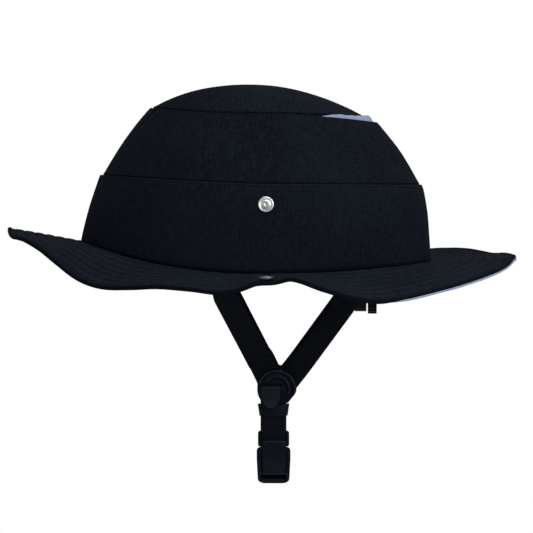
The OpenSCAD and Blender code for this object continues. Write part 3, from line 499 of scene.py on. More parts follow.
def domeAt(a, s):
    q = np.clip(1 - (s - domeTuck) / domeLength, 0, 1)
    points = ringPoints(hang(domeRing(np.maximum(q, domeCap)), s, domeTuck), a)
    share = q / domeCap
    flat = domePole + (points - domePole) * share[:, None]  # the cap closes in on the pole as a shallow bowl
    flat[..., 2] = domePole[2] - (domePole[2] - points[..., 2]) * share ** 2
    return np.where((q < domeCap)[:, None], flat, points)


def onSurface(at, a, s, relief=None, depth=0.0, step=(0.004, 0.4), outward=1):
    # Points (A, S, 3) of the face, moved out by relief(a, s) and in by depth, and the outward normals
    base = at(a, s)
    du = at(a + step[0], s) - at(a - step[0], s)
    dv = at(a, s + step[1]) - at(a, s - step[1])
    normal = unit(np.cross(du, dv) * outward)
    lift = relief(a[:, None], s) if relief else np.zeros(base.shape[:2])
    return base + normal * (lift - depth)[..., None], normal


def onRows(at, a, rows, depth, step, outward=1):
    # The same, where each bearing has distances of its own
    found = [onSurface(at, a[k:k + 1], row, None, depth, step, outward) for k, row in enumerate(rows)]
    return (np.concatenate(part) for part in zip(*found))


def hemmedOutline(low, high, thick, count, extra):
    # Distances and depths round a cloth's closed outline: up its outer face, over its rounded edge, down inside
    r = thick / 2
    ends = np.array([0.0, 0.1, 0.35, 0.7, 1.0]) * r
    s = np.unique(np.concatenate([low + ends, np.linspace(low + r, high - r, count), high - ends,
                                  [x for e in extra for x in (e - 1.6, e - 0.8, e, e + 0.8, e + 1.6)]]))
    fat = roundOff(np.minimum(s - low, high - s) / r)
    inner = s[1:-1][::-1]
    return np.concatenate([s, inner]), np.concatenate([r * (1 - fat), r * (1 + fat[1:-1][::-1])])


def waves(seed, count, lowTurns, highTurns, slant):
    # A gentle unevenness of the cloth, the same each run, that meets itself round the crown
    rng = np.random.default_rng(seed)
    turns = rng.integers(lowTurns, highTurns, count)
    climbs, phases = rng.uniform(-slant, slant, count), rng.uniform(0, 6.28, count)
    sizes = rng.uniform(0.4, 1.0, count)
    return lambda a, s: sum(z * np.sin(t * a + c * s + p)
                            for z, t, c, p in zip(sizes, turns, climbs, phases)) / sizes.sum()


sideWaves, middleWaves, domeWaves = (waves(k, 7, 2, 9, 0.05) for k in (3, 4, 5))
fineWaves = waves(6, 9, 40, 90, 0.12)
stitchIn, footRow = 2.0, 3.4  # rows of stitching lie this far in from a folded edge, and up from the hem


def seamPull(a, s, row, ripple):
    # A row of stitching draws the cloth in, and ripples it
    return ripple * fineWaves(a, s) * bump(s, row, 5.0) - 0.3 * bump(s, row, 1.0)


def rearEase(a):
    off = np.degrees(np.abs(((a + np.pi) % (2 * np.pi)) - np.pi))
    return 0.7 * bump(off, 0, 38)


def foldShade(s, fold, edge):
    # Painted shade in the angle above a fold of the tier in front, and a painted highlight on the fold at a tier's
    # own edge
    return 0.3 * (plateau(s, fold - 0.4, fold, fold + 0.5, fold + 1.5) - smoothStep(s, edge - 1.0, edge - 0.2))


def sideRelief(a, s):
    toEdge = sideLength - s
    ease = rearEase(a) * smoothStep(s, 20, 50) * smoothStep(toEdge, -2, 6)
    sag = 0.5 * sideWaves(a, s) * smoothStep(s, 0, 8) * smoothStep(toEdge, 2, 12)
    foot = 0.22 * fineWaves(a, s + 9) * bump(s, 2.0, 6.0) - 0.25 * bump(s, footRow, 1.0)
    return ease + sag + foot + seamPull(a, s, sideLength - stitchIn, 0.12)


# The folds beside the front panel: degrees off the front at their top and foot, the rest in mm
crease = {"top": 25.5, "foot": 8.0, "lift": 0.9, "sink": 0.4, "panel": 0.3, "soft": 4.5, "perDegree": 1.9}


def creaseAt(a, s):
    # mm from the fold, and how much of it shows
    off = np.degrees(np.abs((a % (2 * np.pi)) - np.pi))
    up = np.clip((s - cover["tuck"]) / middleLength, 0, 1)
    line = crease["foot"] + (crease["top"] - crease["foot"]) * up ** 1.15
    return (off - line) * crease["perDegree"], smoothStep(up, 0.02, 0.3) * smoothStep(middleEnd - s, 0.0, 2.0)


def middleRelief(a, s):
    row = middleEnd - stitchIn
    arc, show = creaseAt(a, s)
    fold = crease["lift"] * np.exp(-np.clip(arc, 0, None) / crease["soft"]) * smoothStep(arc, -0.7, 0.2)
    inward = np.clip(-arc - 1.0, 0, None)
    sunk = crease["sink"] * np.exp(-inward / 1.6) + crease["panel"] * np.exp(-inward / 14)
    ease = rearEase(a) * plateau(s, 4, 9, 36, 66)
    sag = 0.45 * middleWaves(a, s) * smoothStep(s, 8, 18) * smoothStep(row - s, 0, 12)
    return ease + sag + (fold - (1 - smoothStep(arc, -1.0, 0.0)) * sunk) * show + seamPull(a, s, row, 0.1)


def domeRelief(a, s):
    fade = smoothStep(domeTuck + domeLength - s, 12, 40)
    lean = -0.5 * np.cos(a) * bump(s, domeTuck + 38, 30)
    sag = 0.5 * domeWaves(a, s) * smoothStep(s, 6, 20)
    return lean + fade * (sag + 0.1 * fineWaves(a, s) * bump(s, domeTuck + 1, 5.0))


def sidePaintedShade(_, s):
    # Painted shade: a dark line along the foot where the brim meets the band. Painted light: the whole band a little
    # paler, and a paler fold at its top edge
    return foldShade(s, -9, sideLength) + 0.6 * (1 - smoothStep(s, 1.0, 3.0)) - 0.1


def middlePaintedShade(a, s):
    # Painted shade just above the side band's fold and in a band beside the front crease; painted highlight on the
    # crease's fold and on the fold at the top edge
    arc, show = creaseAt(a, s)
    paintedShadeBeside, paintedHighlightOnFold = plateau(arc, -13, -6, -0.5, 0.3), plateau(arc, -0.3, 0.4, 1.5, 4.2)
    return foldShade(s, cover["tuck"], middleEnd) + show * (0.55 * paintedShadeBeside - 0.5 * paintedHighlightOnFold)


def domePaintedShade(a, s):
    # Painted shade just above the middle band's fold, and over the front of the dome
    return foldShade(s, domeTuck, 999) + 0.18 * smoothStep(-np.cos(a), 0.1, 0.9)


bearings = np.unique(np.concatenate([np.linspace(0, 360, cover["bearings"], endpoint=False),
                                     np.arange(150.1, 210, 0.35)])) * np.pi / 180
aroundAgain = np.concatenate([bearings, [2 * np.pi]])


def makeTier(node, at, relief, worn, low, high, count, extra):
    s, depth = hemmedOutline(low, high, cover["cloth"], count, extra)
    points, _ = onSurface(at, bearings, s, relief, depth)
    arc = arcLength(at(aroundAgain, np.array([(low + high) / 2]))[:, 0])
    piece = loft(pieceName(node), points, coverCloth, loop=True, cloth=clothMap(arc, np.append(s, s[0])) * mm,
                 sharpAngle=70, worn=worn(bearings[:, None], s))
    return dress(piece, "cover_cloth", "cover", node)


sideBand = makeTier("side_band", sideAt, sideRelief, sidePaintedShade, -1.2, sideLength, 34,
                    (sideLength - stitchIn, footRow))
middleBand = makeTier("middle_band", middleAt, middleRelief, middlePaintedShade, 0, middleEnd, 40,
                      (cover["tuck"] + 0.8, middleEnd - stitchIn))


def makeDome():
    s = np.concatenate([[0, 2.4], domeTuck + np.array([-0.4, 0, 0.7, 1.2, 1.8]),
                        np.linspace(domeTuck + 3.2, domeTuck + domeLength * 0.84, 40),
                        domeTuck + domeLength * np.array([0.88, 0.92, 0.95, 0.97, 0.985, 1.0])])
    outer, _ = onSurface(domeAt, bearings, s, domeRelief, 0.0, step=(0.01, 0.3))
    outer[:, -1] = domePole
    inner, _ = onSurface(domeAt, bearings, s[:-1], domeRelief, cover["cloth"], step=(0.01, 0.3))
    inner = np.concatenate([inner, np.broadcast_to(domePole - [0, 0, cover["cloth"]], (len(bearings), 1, 3))], 1)
    points = np.concatenate([inner[:, ::-1], outer], 1)
    cloth = np.concatenate([points, points[:1]])[..., :2] * mm
    worn = np.concatenate([0 * inner[..., 0], domePaintedShade(bearings[:, None], s)], 1)
    piece = loft("crownDome", points, coverCloth, loop=True, closed=False, cloth=cloth, sharpAngle=70, worn=worn)
    return dress(piece, "cover_cloth", "cover", "crown_dome")


crownDome = makeDome()


def makeVent():
    # The pale strip in the gap behind the dome: it bulges up at the middle and near its ends
    reach, along = np.radians(58), 90
    a = np.linspace(-reach, reach, along)
    low = ringPoints(lower(domeFoot, 1), a)[:, 0]
    high = ringPoints(lower(shrink(topRing, cover["cloth"]), 2.2), a)[:, 0]
    t = np.linspace(0, 1, 17)
    top = low[:, None] + (high - low)[:, None] * t[:, None]
    off = np.abs(np.degrees(a))
    rise = (3.9 * np.clip(1 - (off / 50) ** 2, 0, 1) ** 0.8 + 1.7 * bump(off, 44, 6.5)
            + 0.3 * np.sin(a * 31) * np.sin(a * 11 + 1))
    top[..., 2] += rise[:, None] * np.sin(np.pi * t ** 0.9) ** 0.8
    top[..., 2] -= 1.7 * smoothStep(off, 50, 57)[:, None]
    points = np.concatenate([top, top[:, ::-1] - [0, 0, 1.2]], 1)
    v = np.concatenate([t, t[::-1], t[:1]]) * 0.01
    piece = loft("ventLining", points, shadedVentLining, cloth=clothMap(arcLength(low) * mm, v))
    return dress(piece, "lining_cloth", "cover", "vent_lining")


ventLining = makeVent()
for piece, at, s, tall in ((sideBand, sideAt, 0.0, sideLength + 3), (middleBand, middleAt, 9.0, middleEnd + 2)):
    asSheet(arcLength(at(aroundAgain, np.array([s]))[:, 0])[-1], tall)
asSheet(206, 172)
asSheet(190, 22)
print("crown done")


brim = {"front": 198.5, "rear": 208.0, "half": 176.0, "width": 67, "cloth": 1.6, "lining": 1.1, "root": 1.9,
        "drop": 0.9, "swell": 0.25, "bearings": 250, "puff": 0.22, "groove": 0.42, "bindingFrom": 0.945,
        "foldStart": 109.5, "foldEnd": 129.0}
brimRoot = shrink(lower(hemRing, brim["drop"]), brim["root"])
leftEdge = [(0, 9.8), (8, 8), (15, 3.2), (30, -5.5), (45, -15), (60, -24.1), (67, -22.4), (75, -15.4), (82, -6.6),
            (86, -8.6), (90, -9.6), (93.5, -14), (98, -16.8), (105, -14.2), (113, -12.3), (120, -13.3), (128, -13),
            (135, -7.1), (143, 5.3), (150, 15.1), (158, 22), (163, 24.2), (169, 25.6), (174, 28.5), (180, 32)]
rightEdge = [(0, 9.8), (5, 10), (14, 10.6), (22, 9.6), (28, 11.2), (34, 13.8), (40, 14.6), (48, 13), (56, 3.6),
             (67, -14), (75, -13.4)] + leftEdge[8:]  # height of the edge by bearing from the nape
leftEase = {8: -0.6, 15: -0.7, 30: -0.6, 45: -0.4, 75: 0.9, 82: 0.6, 143: 0.7, 150: 1.4, 158: 1.3, 163: 0.8, 169: 0.2,
            174: -0.3}  # the photograph's edge beside the built one
rightEase = {0: -0.7, 5: -0.7, 14: -0.5, 34: -0.9, 40: -1.4, 48: -1.4, 174: -0.3, 180: -0.7}
edgeTable = np.array([(b, z + rightEase.get(b, 0)) for b, z in rightEdge]
                     + [(360 - b, z + leftEase.get(b, 0)) for b, z in leftEdge[-2:0:-1]] + [(360, 9.1)])


def edgeHeight(a):
    w = np.degrees(a) % 360
    b, z = edgeTable.T
    before, after = np.roll(b[:-1], 1), b[1:]
    before[0] -= 360
    slopes = (z[1:] - np.concatenate([z[-2:-1], z[:-2]])) / (after - before)
    slopes = np.append(slopes, slopes[0])
    i = np.clip(np.searchsorted(b, w, "right") - 1, 0, len(b) - 2)
    h = b[i + 1] - b[i]
    return hermite((w - b[i]) / h, h, z[i], z[i + 1], slopes[i], slopes[i + 1])


def brimAt(a, t):
    # t runs from the root to the edge; the point is on the smooth upper face
    p = ringPoints(brimRoot, a)
    c, s = np.cos(a), np.sin(a)
    q = np.stack([np.where(c < 0, brim["front"], brim["rear"]) * c, brim["half"] * s,
                  edgeHeight(a) + brim["cloth"] + brim["lining"]], -1)[:, None]
    out = p + (q - p) * t[:, None]
    out[..., 2] += 4 * brim["swell"] * (t * (1 - t))
    return out


rowPlaces = brimRows["first"] + brimRows["step"] * np.arange(brimRows["count"])
brimWaves = waves(8, 9, 26, 60, 0.0)
puckerWaves = waves(9, 12, 90, 190, 0.0)


def sideSeam(a):
    return bump(np.abs(np.degrees(a) - 180), 93.6, 0.9)  # the join at each side, beside the snap


def brimRelief(a, t):
    near = np.min(np.abs(t[..., None] - rowPlaces), -1) * brim["width"]  # mm to the nearest row
    between = 1 - np.exp(-(near / 2.4) ** 2)
    rowPhase = np.round((t - brimRows["first"]) / brimRows["step"]) * 0.7
    out = brim["puff"] * between - brim["groove"] * np.exp(-(near / 1.1) ** 2)
    out = out + 0.3 * brimWaves(a + rowPhase * 0.02, t) * (0.3 + between)
    out = out + 0.2 * puckerWaves(a + rowPhase * 0.01, t) * np.exp(-(near / 3.2) ** 2)
    start = brim["bindingFrom"] - 0.004
    binding = smoothStep(t, start, start + 0.012)
    out = out * (1 - binding) + binding * 0.5 - 0.35 * bump(t, start, 0.006)
    return (out - 0.55 * sideSeam(a)) * smoothStep(t, 0.0, 0.05)


def liningShows(a):
    # Along the left rear edge the lining reaches the edge and shows below it; elsewhere the binding hides it
    return plateau(np.degrees(a) % 360, 297, 306, 357, 360)


brimRound = 1.35 / brim["width"]  # the edge's radius, as a share of the brim's width
besideRow = np.array([-2.0, -1.2, -0.6, 0, 0.6, 1.2, 2.0]) / brim["width"]
besideBinding = np.array([-0.012, -0.006, -0.003, 0, 0.004, 0.01])
brimTs = np.unique(np.concatenate([
    np.linspace(0, 1 - brimRound, 58), 1 - np.array([0.0, 0.12, 0.4, 0.75, 1.0]) * brimRound,
    (rowPlaces[:, None] + besideRow).ravel(), brim["bindingFrom"] + besideBinding]))
brimStep = (0.004, 0.006)  # for normals: radians, and a share of the brim's width


def onBrim(a, t, relief=None, depth=0.0):
    return onSurface(brimAt, a, t, relief, depth, brimStep, -1)


def brimArc(a):
    return arcLength(brimAt(a, np.array([0.5]))[:, 0]) * mm


def brimHalf(name, a, nodes):
    fat = roundOff((1 - brimTs) / brimRound)
    wrap = smoothStep(brimTs, 0.948, 0.962)  # the binding goes round the edge, and hides the lining there
    depth = brim["cloth"] + wrap * (1 - liningShows(a)[:, None]) * (brim["lining"] + 0.35)
    middle = depth[:, -1:] / 2 - 0.2
    upper = middle - middle * fat
    under = np.maximum(middle + (depth - middle) * fat, upper + 0.02)
    (top, normal), (base, _) = onBrim(a, brimTs, brimRelief), onBrim(a, brimTs)
    points = np.concatenate([top - normal * upper[..., None], (base - normal * under[..., None])[:, -2:0:-1]], 1)
    t = np.concatenate([brimTs, brimTs[-2:0:-1]])
    # Darker over the rounded edge and along the side seams
    worn = 0.6 * smoothStep(t, 0.972, 0.985) + 0.5 * sideSeam(a)[:, None]
    piece = loft(name, points, brimCloth, cloth=clothMap(brimArc(a), np.append(t, t[0]) * brimRows["width"]),
                 sharpAngle=75, worn=worn)
    return dress(piece, "brim_cloth", None, *nodes)


def liningHalf(name, a, nodes):
    bound, count = 0.956, 40  # the lining ends under the binding, besides where it shows
    reach = bound + 0.037 * liningShows(a) + 0.014 * bump(np.degrees(a), 357, 7)
    t = np.linspace(0, 1, count)
    grid, normal = onRows(brimAt, a, reach[:, None] * t, brim["cloth"] + 0.02, brimStep, -1)
    rows = np.min(np.abs((t * bound)[:, None] - rowPlaces), -1) * brim["width"]
    sag = 0.22 * (1 - np.exp(-(rows / 2.2) ** 2)) + 0.1 * np.sin(a * 34)[:, None]
    seen = 1.8 * liningShows(a)[:, None] * smoothStep(t, 0.94, 0.99) * roundOff((1 - t) * brim["width"] / 0.7, 0.05)
    thick = brim["lining"] + sag * smoothStep(1 - t, 0, 0.05) + seen
    under = grid - normal * thick[..., None]
    v = np.concatenate([t, t[::-1], t[:1]]) * 0.065
    piece = loft(name, np.concatenate([grid, under[:, ::-1]], 1), liningCloth, cloth=clothMap(brimArc(a), v),
                 sharpAngle=75)
    return dress(piece, "lining_cloth", None, *nodes)


halves = {"Left": (np.pi, 2 * np.pi, "flap_l", -1, ("brim", "brim_flap_left"), ("brim_lining", "flap_lining_left")),
          "Right": (0, np.pi, "flap_r", 1, ("brim_flap_right",), ("flap_lining_right",))}


def foldBlend(piece):
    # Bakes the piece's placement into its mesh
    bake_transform(piece)


for side, (aLow, aHigh, body, sign, clothNodes, liningNodes) in halves.items():
    a = np.linspace(aLow, aHigh, brim["bearings"])
    for cloth in (brimHalf("brimCloth" + side, a, clothNodes), liningHalf("brimLining" + side, a, liningNodes)):
        foldBlend(cloth)
        asSheet(416, 180)
print("brim done")


def stitchTree():
    # Geometry Nodes: a bead of thread at every pitch of a row, turned along it, each a little uneven in length
    tree = bpy.data.node_groups.new("stitchRow", "GeometryNodeTree")
    for name, kind, value in (("Geometry", "Geometry", None), ("Pitch", "Float", 0.0032),
                              ("Stitch Length", "Float", 0.0024), ("Thread", "Float", 0.0005),
                              ("Unevenness", "Float", 0.05), ("Seed", "Int", 7), ("Look", "Material", None)):
        item = tree.interface.new_socket(name, in_out="INPUT", socket_type="NodeSocket" + kind)
        if value is not None:
            item.default_value = value
    tree.interface.new_socket("Geometry", in_out="OUTPUT", socket_type="NodeSocketGeometry")
    kinds = {"given": "NodeGroupInput", "toCurve": "GeometryNodeMeshToCurve",
             "toPoints": "GeometryNodeCurveToPoints", "bead": "GeometryNodeMeshUVSphere",
             "aim": "FunctionNodeAlignRotationToVector", "size": "ShaderNodeCombineXYZ", "low": "ShaderNodeMath",
             "high": "ShaderNodeMath", "uneven": "FunctionNodeRandomValue", "long": "ShaderNodeMath",
             "place": "GeometryNodeInstanceOnPoints", "smooth": "GeometryNodeSetShadeSmooth",
             "real": "GeometryNodeRealizeInstances", "paint": "GeometryNodeSetMaterial",
             "result": "NodeGroupOutput"}
    nodes = {name: tree.nodes.new(kind) for name, kind in kinds.items()}
    for name, setting, value in (("toPoints", "mode", "LENGTH"), ("aim", "axis", "Z"),
                                 ("uneven", "data_type", "FLOAT"), ("low", "operation", "SUBTRACT"),
                                 ("high", "operation", "ADD"), ("long", "operation", "MULTIPLY")):
        setattr(nodes[name], setting, value)
    for name, socket, value in (("bead", "Segments", 6), ("bead", "Rings", 4), ("bead", "Radius", 0.5),
                                ("low", 0, 1.0), ("high", 0, 1.0)):
        nodes[name].inputs[socket].default_value = value
    for source, out, target, into in (
            ("given", "Geometry", "toCurve", 0), ("toCurve", 0, "toPoints", 0),
            ("given", "Pitch", "toPoints", "Length"), ("toPoints", "Tangent", "aim", "Vector"),
            ("given", "Unevenness", "low", 1), ("given", "Unevenness", "high", 1), ("low", 0, "uneven", 2),
            ("high", 0, "uneven", 3), ("given", "Seed", "uneven", "Seed"), ("given", "Stitch Length", "long", 0),
            ("uneven", 1, "long", 1), ("given", "Thread", "size", 0), ("given", "Thread", "size", 1),
            ("long", 0, "size", 2), ("toPoints", "Points", "place", "Points"),
            ("bead", "Mesh", "place", "Instance"), ("aim", "Rotation", "place", "Rotation"),
            ("size", 0, "place", "Scale"), ("place", 0, "smooth", 0), ("smooth", 0, "real", 0),
            ("real", 0, "paint", 0), ("given", "Look", "paint", "Material"), ("paint", 0, "result", 0)):
        tree.links.new(nodes[source].outputs[out], nodes[target].inputs[into])
    return tree


stitchRow = stitchTree()


def sewRows(name, rows, look, pitch=3.2, length=2.4, thread=0.5, seed=7):
    # rows: lists of points in mm, each its own row
    verts, edges = [], []
    for row in rows:
        first = len(verts)
        verts += (np.asarray(row) * mm).tolist()
        edges += [(first + k, first + k + 1) for k in range(len(row) - 1)]
    mesh = bpy.data.meshes.new(name + "Rows")
    mesh.from_pydata(verts, edges, [])
    guide = bpy.data.objects.new(name + "Rows", mesh)
    scene.collection.objects.link(guide)
    modifier = guide.modifiers.new("stitches", "NODES")
    modifier.node_group = stitchRow
    given = {"Pitch": pitch * mm, "Stitch Length": length * mm, "Thread": thread * mm, "Seed": seed, "Look": look}
    for item in stitchRow.interface.items_tree:
        if item.item_type == "SOCKET" and item.in_out == "INPUT" and item.name in given:
            modifier[item.identifier] = given[item.name]
    bpy.context.view_layer.update()
    result = bpy.data.meshes.new_from_object(guide.evaluated_get(bpy.context.evaluated_depsgraph_get()))
    bpy.data.objects.remove(guide)
    return newObject(name, result, look)


threadLift = 0.12


def tierRow(at, relief, s):
    return onSurface(at, aroundAgain, np.array([s]), relief, -threadLift)[0][:, 0]


dress(sewRows("coverStitches", [
    tierRow(sideAt, sideRelief, sideLength - stitchIn), tierRow(sideAt, sideRelief, footRow),
    tierRow(middleAt, middleRelief, middleEnd - stitchIn)], threadLook), "cover_cloth", "cover")
dress(sewRows("lapStitches", [
    tierRow(middleAt, middleRelief, cover["tuck"] + 0.9), tierRow(domeAt, domeRelief, domeTuck + 0.9)],
    darkThread, pitch=2.6, length=1.7, thread=0.6, seed=11), "cover_cloth", "cover")
for side, (aLow, aHigh, body, sign, _, _) in halves.items():
    a = np.linspace(aLow, aHigh, 700)
    rows = [onBrim(a, np.array([t]), brimRelief, -0.1)[0][:, 0] for t in (*rowPlaces, brim["bindingFrom"] + 0.02)]
    foldBlend(dress(sewRows("brimStitches" + side, rows, threadLook), "brim_cloth", None))
print("stitching done")


# Press snaps: a stud on the side band, and its socket on the brim, turned back from the stud by the fold
snap = {"x": 8.0, "z": 53.5, "ringHigh": 0.9, "lift": 0.5, "fit": 0.3, "foldY": 113.0, "foldZ": -1.0,
        "fold": 98.344}
snapLean = math.degrees(math.atan((hemRing[half] - seamRing[half]) / seamRing[sideZ]))
snapAt = (hemRing[half] + (seamRing[half] - hemRing[half]) * snap["z"] / seamRing[sideZ]
          + cover["sideSwell"] * math.sin(math.pi * snap["z"] / seamRing[sideZ]))


def onBand(out):
    return (Matrix.Translation(Vector((snap["x"], -snapAt, snap["z"])) * mm)
            @ Matrix.Rotation(math.radians(90 - snapLean), 4, "X") @ Matrix.Translation((0, 0, out * mm)))


def aboutFold(turn):
    hinge = Matrix.Translation(Vector((0, -snap["foldY"], snap["foldZ"])) * mm)
    return hinge @ Matrix.Rotation(math.radians(turn), 4, "X") @ hinge.inverted()


studProfile = [(0, -0.5), (5.2, -0.5), (6.0, -0.3), (6.3, 0.15), (6.25, 0.6), (5.9, 0.95), (5.4, 1.0), (4.9, 0.85),
               (4.5, 0.5), (4.0, 0.42), (3.5, 0.5), (3.05, 0.8), (2.7, 1.2), (2.75, 1.7), (2.95, 2.1), (2.85, 2.45),
               (2.4, 2.6), (1.6, 2.6), (1.2, 2.45), (0.5, 2.35), (0, 2.35)]
socketProfile = [(0, 1.9), (3.2, 1.9), (3.25, 0.5), (3.4, 0.1), (3.8, 0.0), (4.6, 0.05), (5.6, 0.15), (6.1, 0.4),
                 (6.3, 0.8), (6.3, 1.5), (6.1, 2.0), (5.4, 2.35), (4.4, 2.6), (2.5, 2.6), (1.8, 2.45), (0, 2.4)]
folded = aboutFold(snap["fold"]) @ onBand(snap["lift"] + snap["ringHigh"] + snap["fit"])
for side, mirror in (("left", Matrix()), ("right", Matrix.Scale(-1, 4, (0, 1, 0)))):
    for node, profile, place, body, look in (
            ("side_snap_" + side, studProfile, onBand(snap["lift"]), "cover", brightNickel),
            ("brim_snap_" + side, socketProfile, folded, "flap_" + side[0], dullNickel)):
        dress(lathe(pieceName(node), profile, mirror @ place, look), "steel", body, node)
print("snaps done")


strap = {"front": 20.4, "rear": 18.3, "chin": 20.8, "thick": 1.5, "x": 14.0, "y": 66.0, "layer": 0.95}


def roundedPath(points, radius, step):
    # Straight runs joined by short curves
    points = [np.array(p, float) for p in points]
    out = [points[0]]
    for before, corner, after in zip(points, points[1:], points[2:]):
        a, b = before - corner, after - corner
        reach = min(radius, 0.45 * np.linalg.norm(a), 0.45 * np.linalg.norm(b))
        p, q = corner + unit(a) * reach, corner + unit(b) * reach
        t = np.linspace(0, 1, 7)[:, None]
        out += list((1 - t) ** 2 * p + 2 * t * (1 - t) * corner + t ** 2 * q)
    out.append(points[-1])
    kept = [out[0]]
    for p, q in zip(out, out[1:]):
        n = max(1, int(np.linalg.norm(q - p) / step))
        for k in range(1, n + 1):
            point = p + (q - p) * k / n
            if np.linalg.norm(point - kept[-1]) > 0.2:
                kept.append(point)
    return np.array(kept)


def flatSection(width, thick):
    # Outline of a flat band with rounded edges: (along the width, across the thickness)
    r = thick / 2
    run = np.linspace(width / 2 - r, r - width / 2, 12)
    turn = np.linspace(0, np.pi, 5)[1:-1]
    upper = np.stack([np.concatenate([run, r - width / 2 - r * np.sin(turn)]),
                      np.concatenate([np.full(len(run), r), r * np.cos(turn)])], -1)
    return np.concatenate([upper, -upper])


def makeBand(name, path, across, width, thick, look, radius=7.0):
    line = roundedPath(path, radius, 2.5)
    ahead = unit(np.gradient(line, axis=0))
    across = np.broadcast_to(np.array(across, float), line.shape)
    side = unit(across - ahead * np.sum(across * ahead, -1, keepdims=True))
    up = np.cross(ahead, side)
    outline = flatSection(width, thick)
    points = line[:, None] + side[:, None] * outline[:, :1] + up[:, None] * outline[:, 1:]
    v = arcLength(np.concatenate([outline, outline[:1]]))
    return loft(name, points, look, cloth=clothMap(arcLength(line), v) * mm, sharpAngle=60)


# Where the straps leave the rim, and their bends (forward, up) from the divider's middle, in mm
anchors = {"front": (-23.4, 94.292, -14.0409), "rear": (76, 74.6704, -12.5282)}
anchorSeat, dividerR, dividerZ, plugTop, barGap = 3.9, 15.6, -93.2, -126.4, 2.05
turns = {"front": [(-11, dividerR + 8.2), (-9, dividerR + 4.4), (-2.4, 6.2), (0, -4), (0, -8)],
         "rear": [(20, dividerR + 3), (7, 1.2)], "rearLow": [(3.6, -3.7), (0, -8)]}


def strapPath(end, sign, lay, foot):
    x, y, z = anchors[end]
    ease = -0.7 if end == "front" else 0.8
    bends = turns[end] + (turns["rearLow"] if foot and end == "rear" else [])
    path = [[x + ease, y * sign, z + anchorSeat], [x + ease, y * sign, z - 4.8]]
    path += [[strap["x"] + forward, lay, dividerZ + up] for forward, up in bends]
    path[2][0] += ease
    return path + foot


def strapFoot(y, lay):
    out = y + (lay - y) / strap["layer"] * barGap
    return [[strap["x"], lay, plugTop + 7.4], [strap["x"], out, plugTop - 0.6], [strap["x"], out, plugTop - 7.9]]


for side, sign in (("left", -1), ("right", 1)):
    for end, outer in (("front", 1), ("rear", -1)):
        node = f"{end}_strap_{side}"
        lay = sign * (strap["y"] + outer * strap["layer"])
        foot = strapFoot(-strap["y"], lay) if side == "left" else []
        dress(makeBand(pieceName(node), strapPath(end, sign, lay, foot), (1, 0, 0), strap[end], strap["thick"],
                       webbingBlack), "webbing", "helmet", node)

chinZ = -162.8
chinRoute = [(-66, 0), (-62, 0), (-52, -0.2), (-38, -2.6), (-20, -4.5), (0, -5), (20, -4.4), (38, -1), (52, 6.8),
             (61, 18.5), (65.2, 33), (66, 50), (66, 61)]
chinRoute = [(y, z + 0.8 * smoothStep(-y, 40, 58)) for y, z in chinRoute]
tailRoute = [(-66.6, -0.75), (-62, -0.75), (-54, -0.95), (-46, -2.2), (-40, -3.6)]  # its end, doubled back
for name, route, nodes in (("chinStrap", chinRoute, ("chin_strap",)), ("strapTail", tailRoute, ())):
    piece = makeBand(name, [[strap["x"], y, chinZ + z] for y, z in route], (-1, 0, 0), strap["chin"],
                     strap["thick"], webbingBlack, radius=9)
    dress(piece, "webbing", None, *nodes)
    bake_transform(piece)
print("straps done")


dividerX = 16.6
softened = {  # node: (look, body, edge radius in mm)
    "strap_anchors": (fitPlastic, "helmet", 0.6), "band_rivets": (fitPlastic, "helmet", 0.4),
    "cradle_hangers": (fitPlastic, "helmet", 0.4), "cradle_housing": (fitPlastic, "helmet", 0.5),
    "cradle_cover": (fitPlastic, "helmet", 0.5), "dial_knob": (fitPlastic, "dial", 0.5),
    "divider_left": (bucklePlastic, "helmet", 0.35), "divider_right": (bucklePlastic, "helmet", 0.35),
    "divider_lever_left": (leverLitPlastic, "lever_l", 1.2), "divider_lever_right": (leverLitPlastic, "lever_r", 1.2),
    "strap_keeper": (bucklePlastic, "helmet", 0.6), "buckle_plug": (bucklePlastic, "helmet", 0.5),
    "prong_front": (bucklePlastic, "prong_f", 0.4), "prong_rear": (bucklePlastic, "prong_b", 0.4),
    "buckle_socket": (bucklePlastic, "socket", 0.9)}
# node: middle x, top z, height of the change and half the width that stays, in mm, and the share drawn in
drawnIn = {"strap_keeper": (strap["x"], -105, 9, 11, 0.1), "divider_left": (dividerX, -94, 10, 6, 0.2),
           "divider_right": (dividerX, -94, 10, 6, 0.2)}
for node, (look, body, width) in softened.items():
    piece = soften(node, look, width)
    if node in drawnIn:  # narrower downwards; a divider only beside its flat
        middle, top, tall, stays, share = drawnIn[node]
        for v in piece.data.vertices:
            off = v.co.x - middle * mm
            if (abs(off) if node == "strap_keeper" else off) > stays * mm:
                v.co.x -= off * share * float(smoothStep((top * mm - v.co.z) / (tall * mm), 0, 1))
    elif node == "buckle_socket":  # a thinner bar at the foot
        for v in piece.data.vertices:
            v.co.z += max(0.0, -165 * mm - v.co.z) * 0.4
    dress(piece, "fit_plastic" if look is fitPlastic else "buckle_plastic", body, node)


def makeBead(name, path, thick, look, body):
    # A round bead along a path in an upright plane, half sunk in the face it lies on
    line = np.array(path, float)
    side = np.cross(unit(np.gradient(line, axis=0)), [0, 1, 0])
    turn = np.linspace(0, 2 * np.pi, 10, endpoint=False)[None, :, None]
    along = np.arange(len(line))
    fat = np.minimum(1, 0.3 + np.minimum(along, along[::-1]) * 0.35)[:, None, None]
    points = line[:, None] + thick * fat * (side[:, None] * np.cos(turn) + np.array([0, 1, 0]) * np.sin(turn))
    return dress(loft(name, points, look), "buckle_plastic", body)


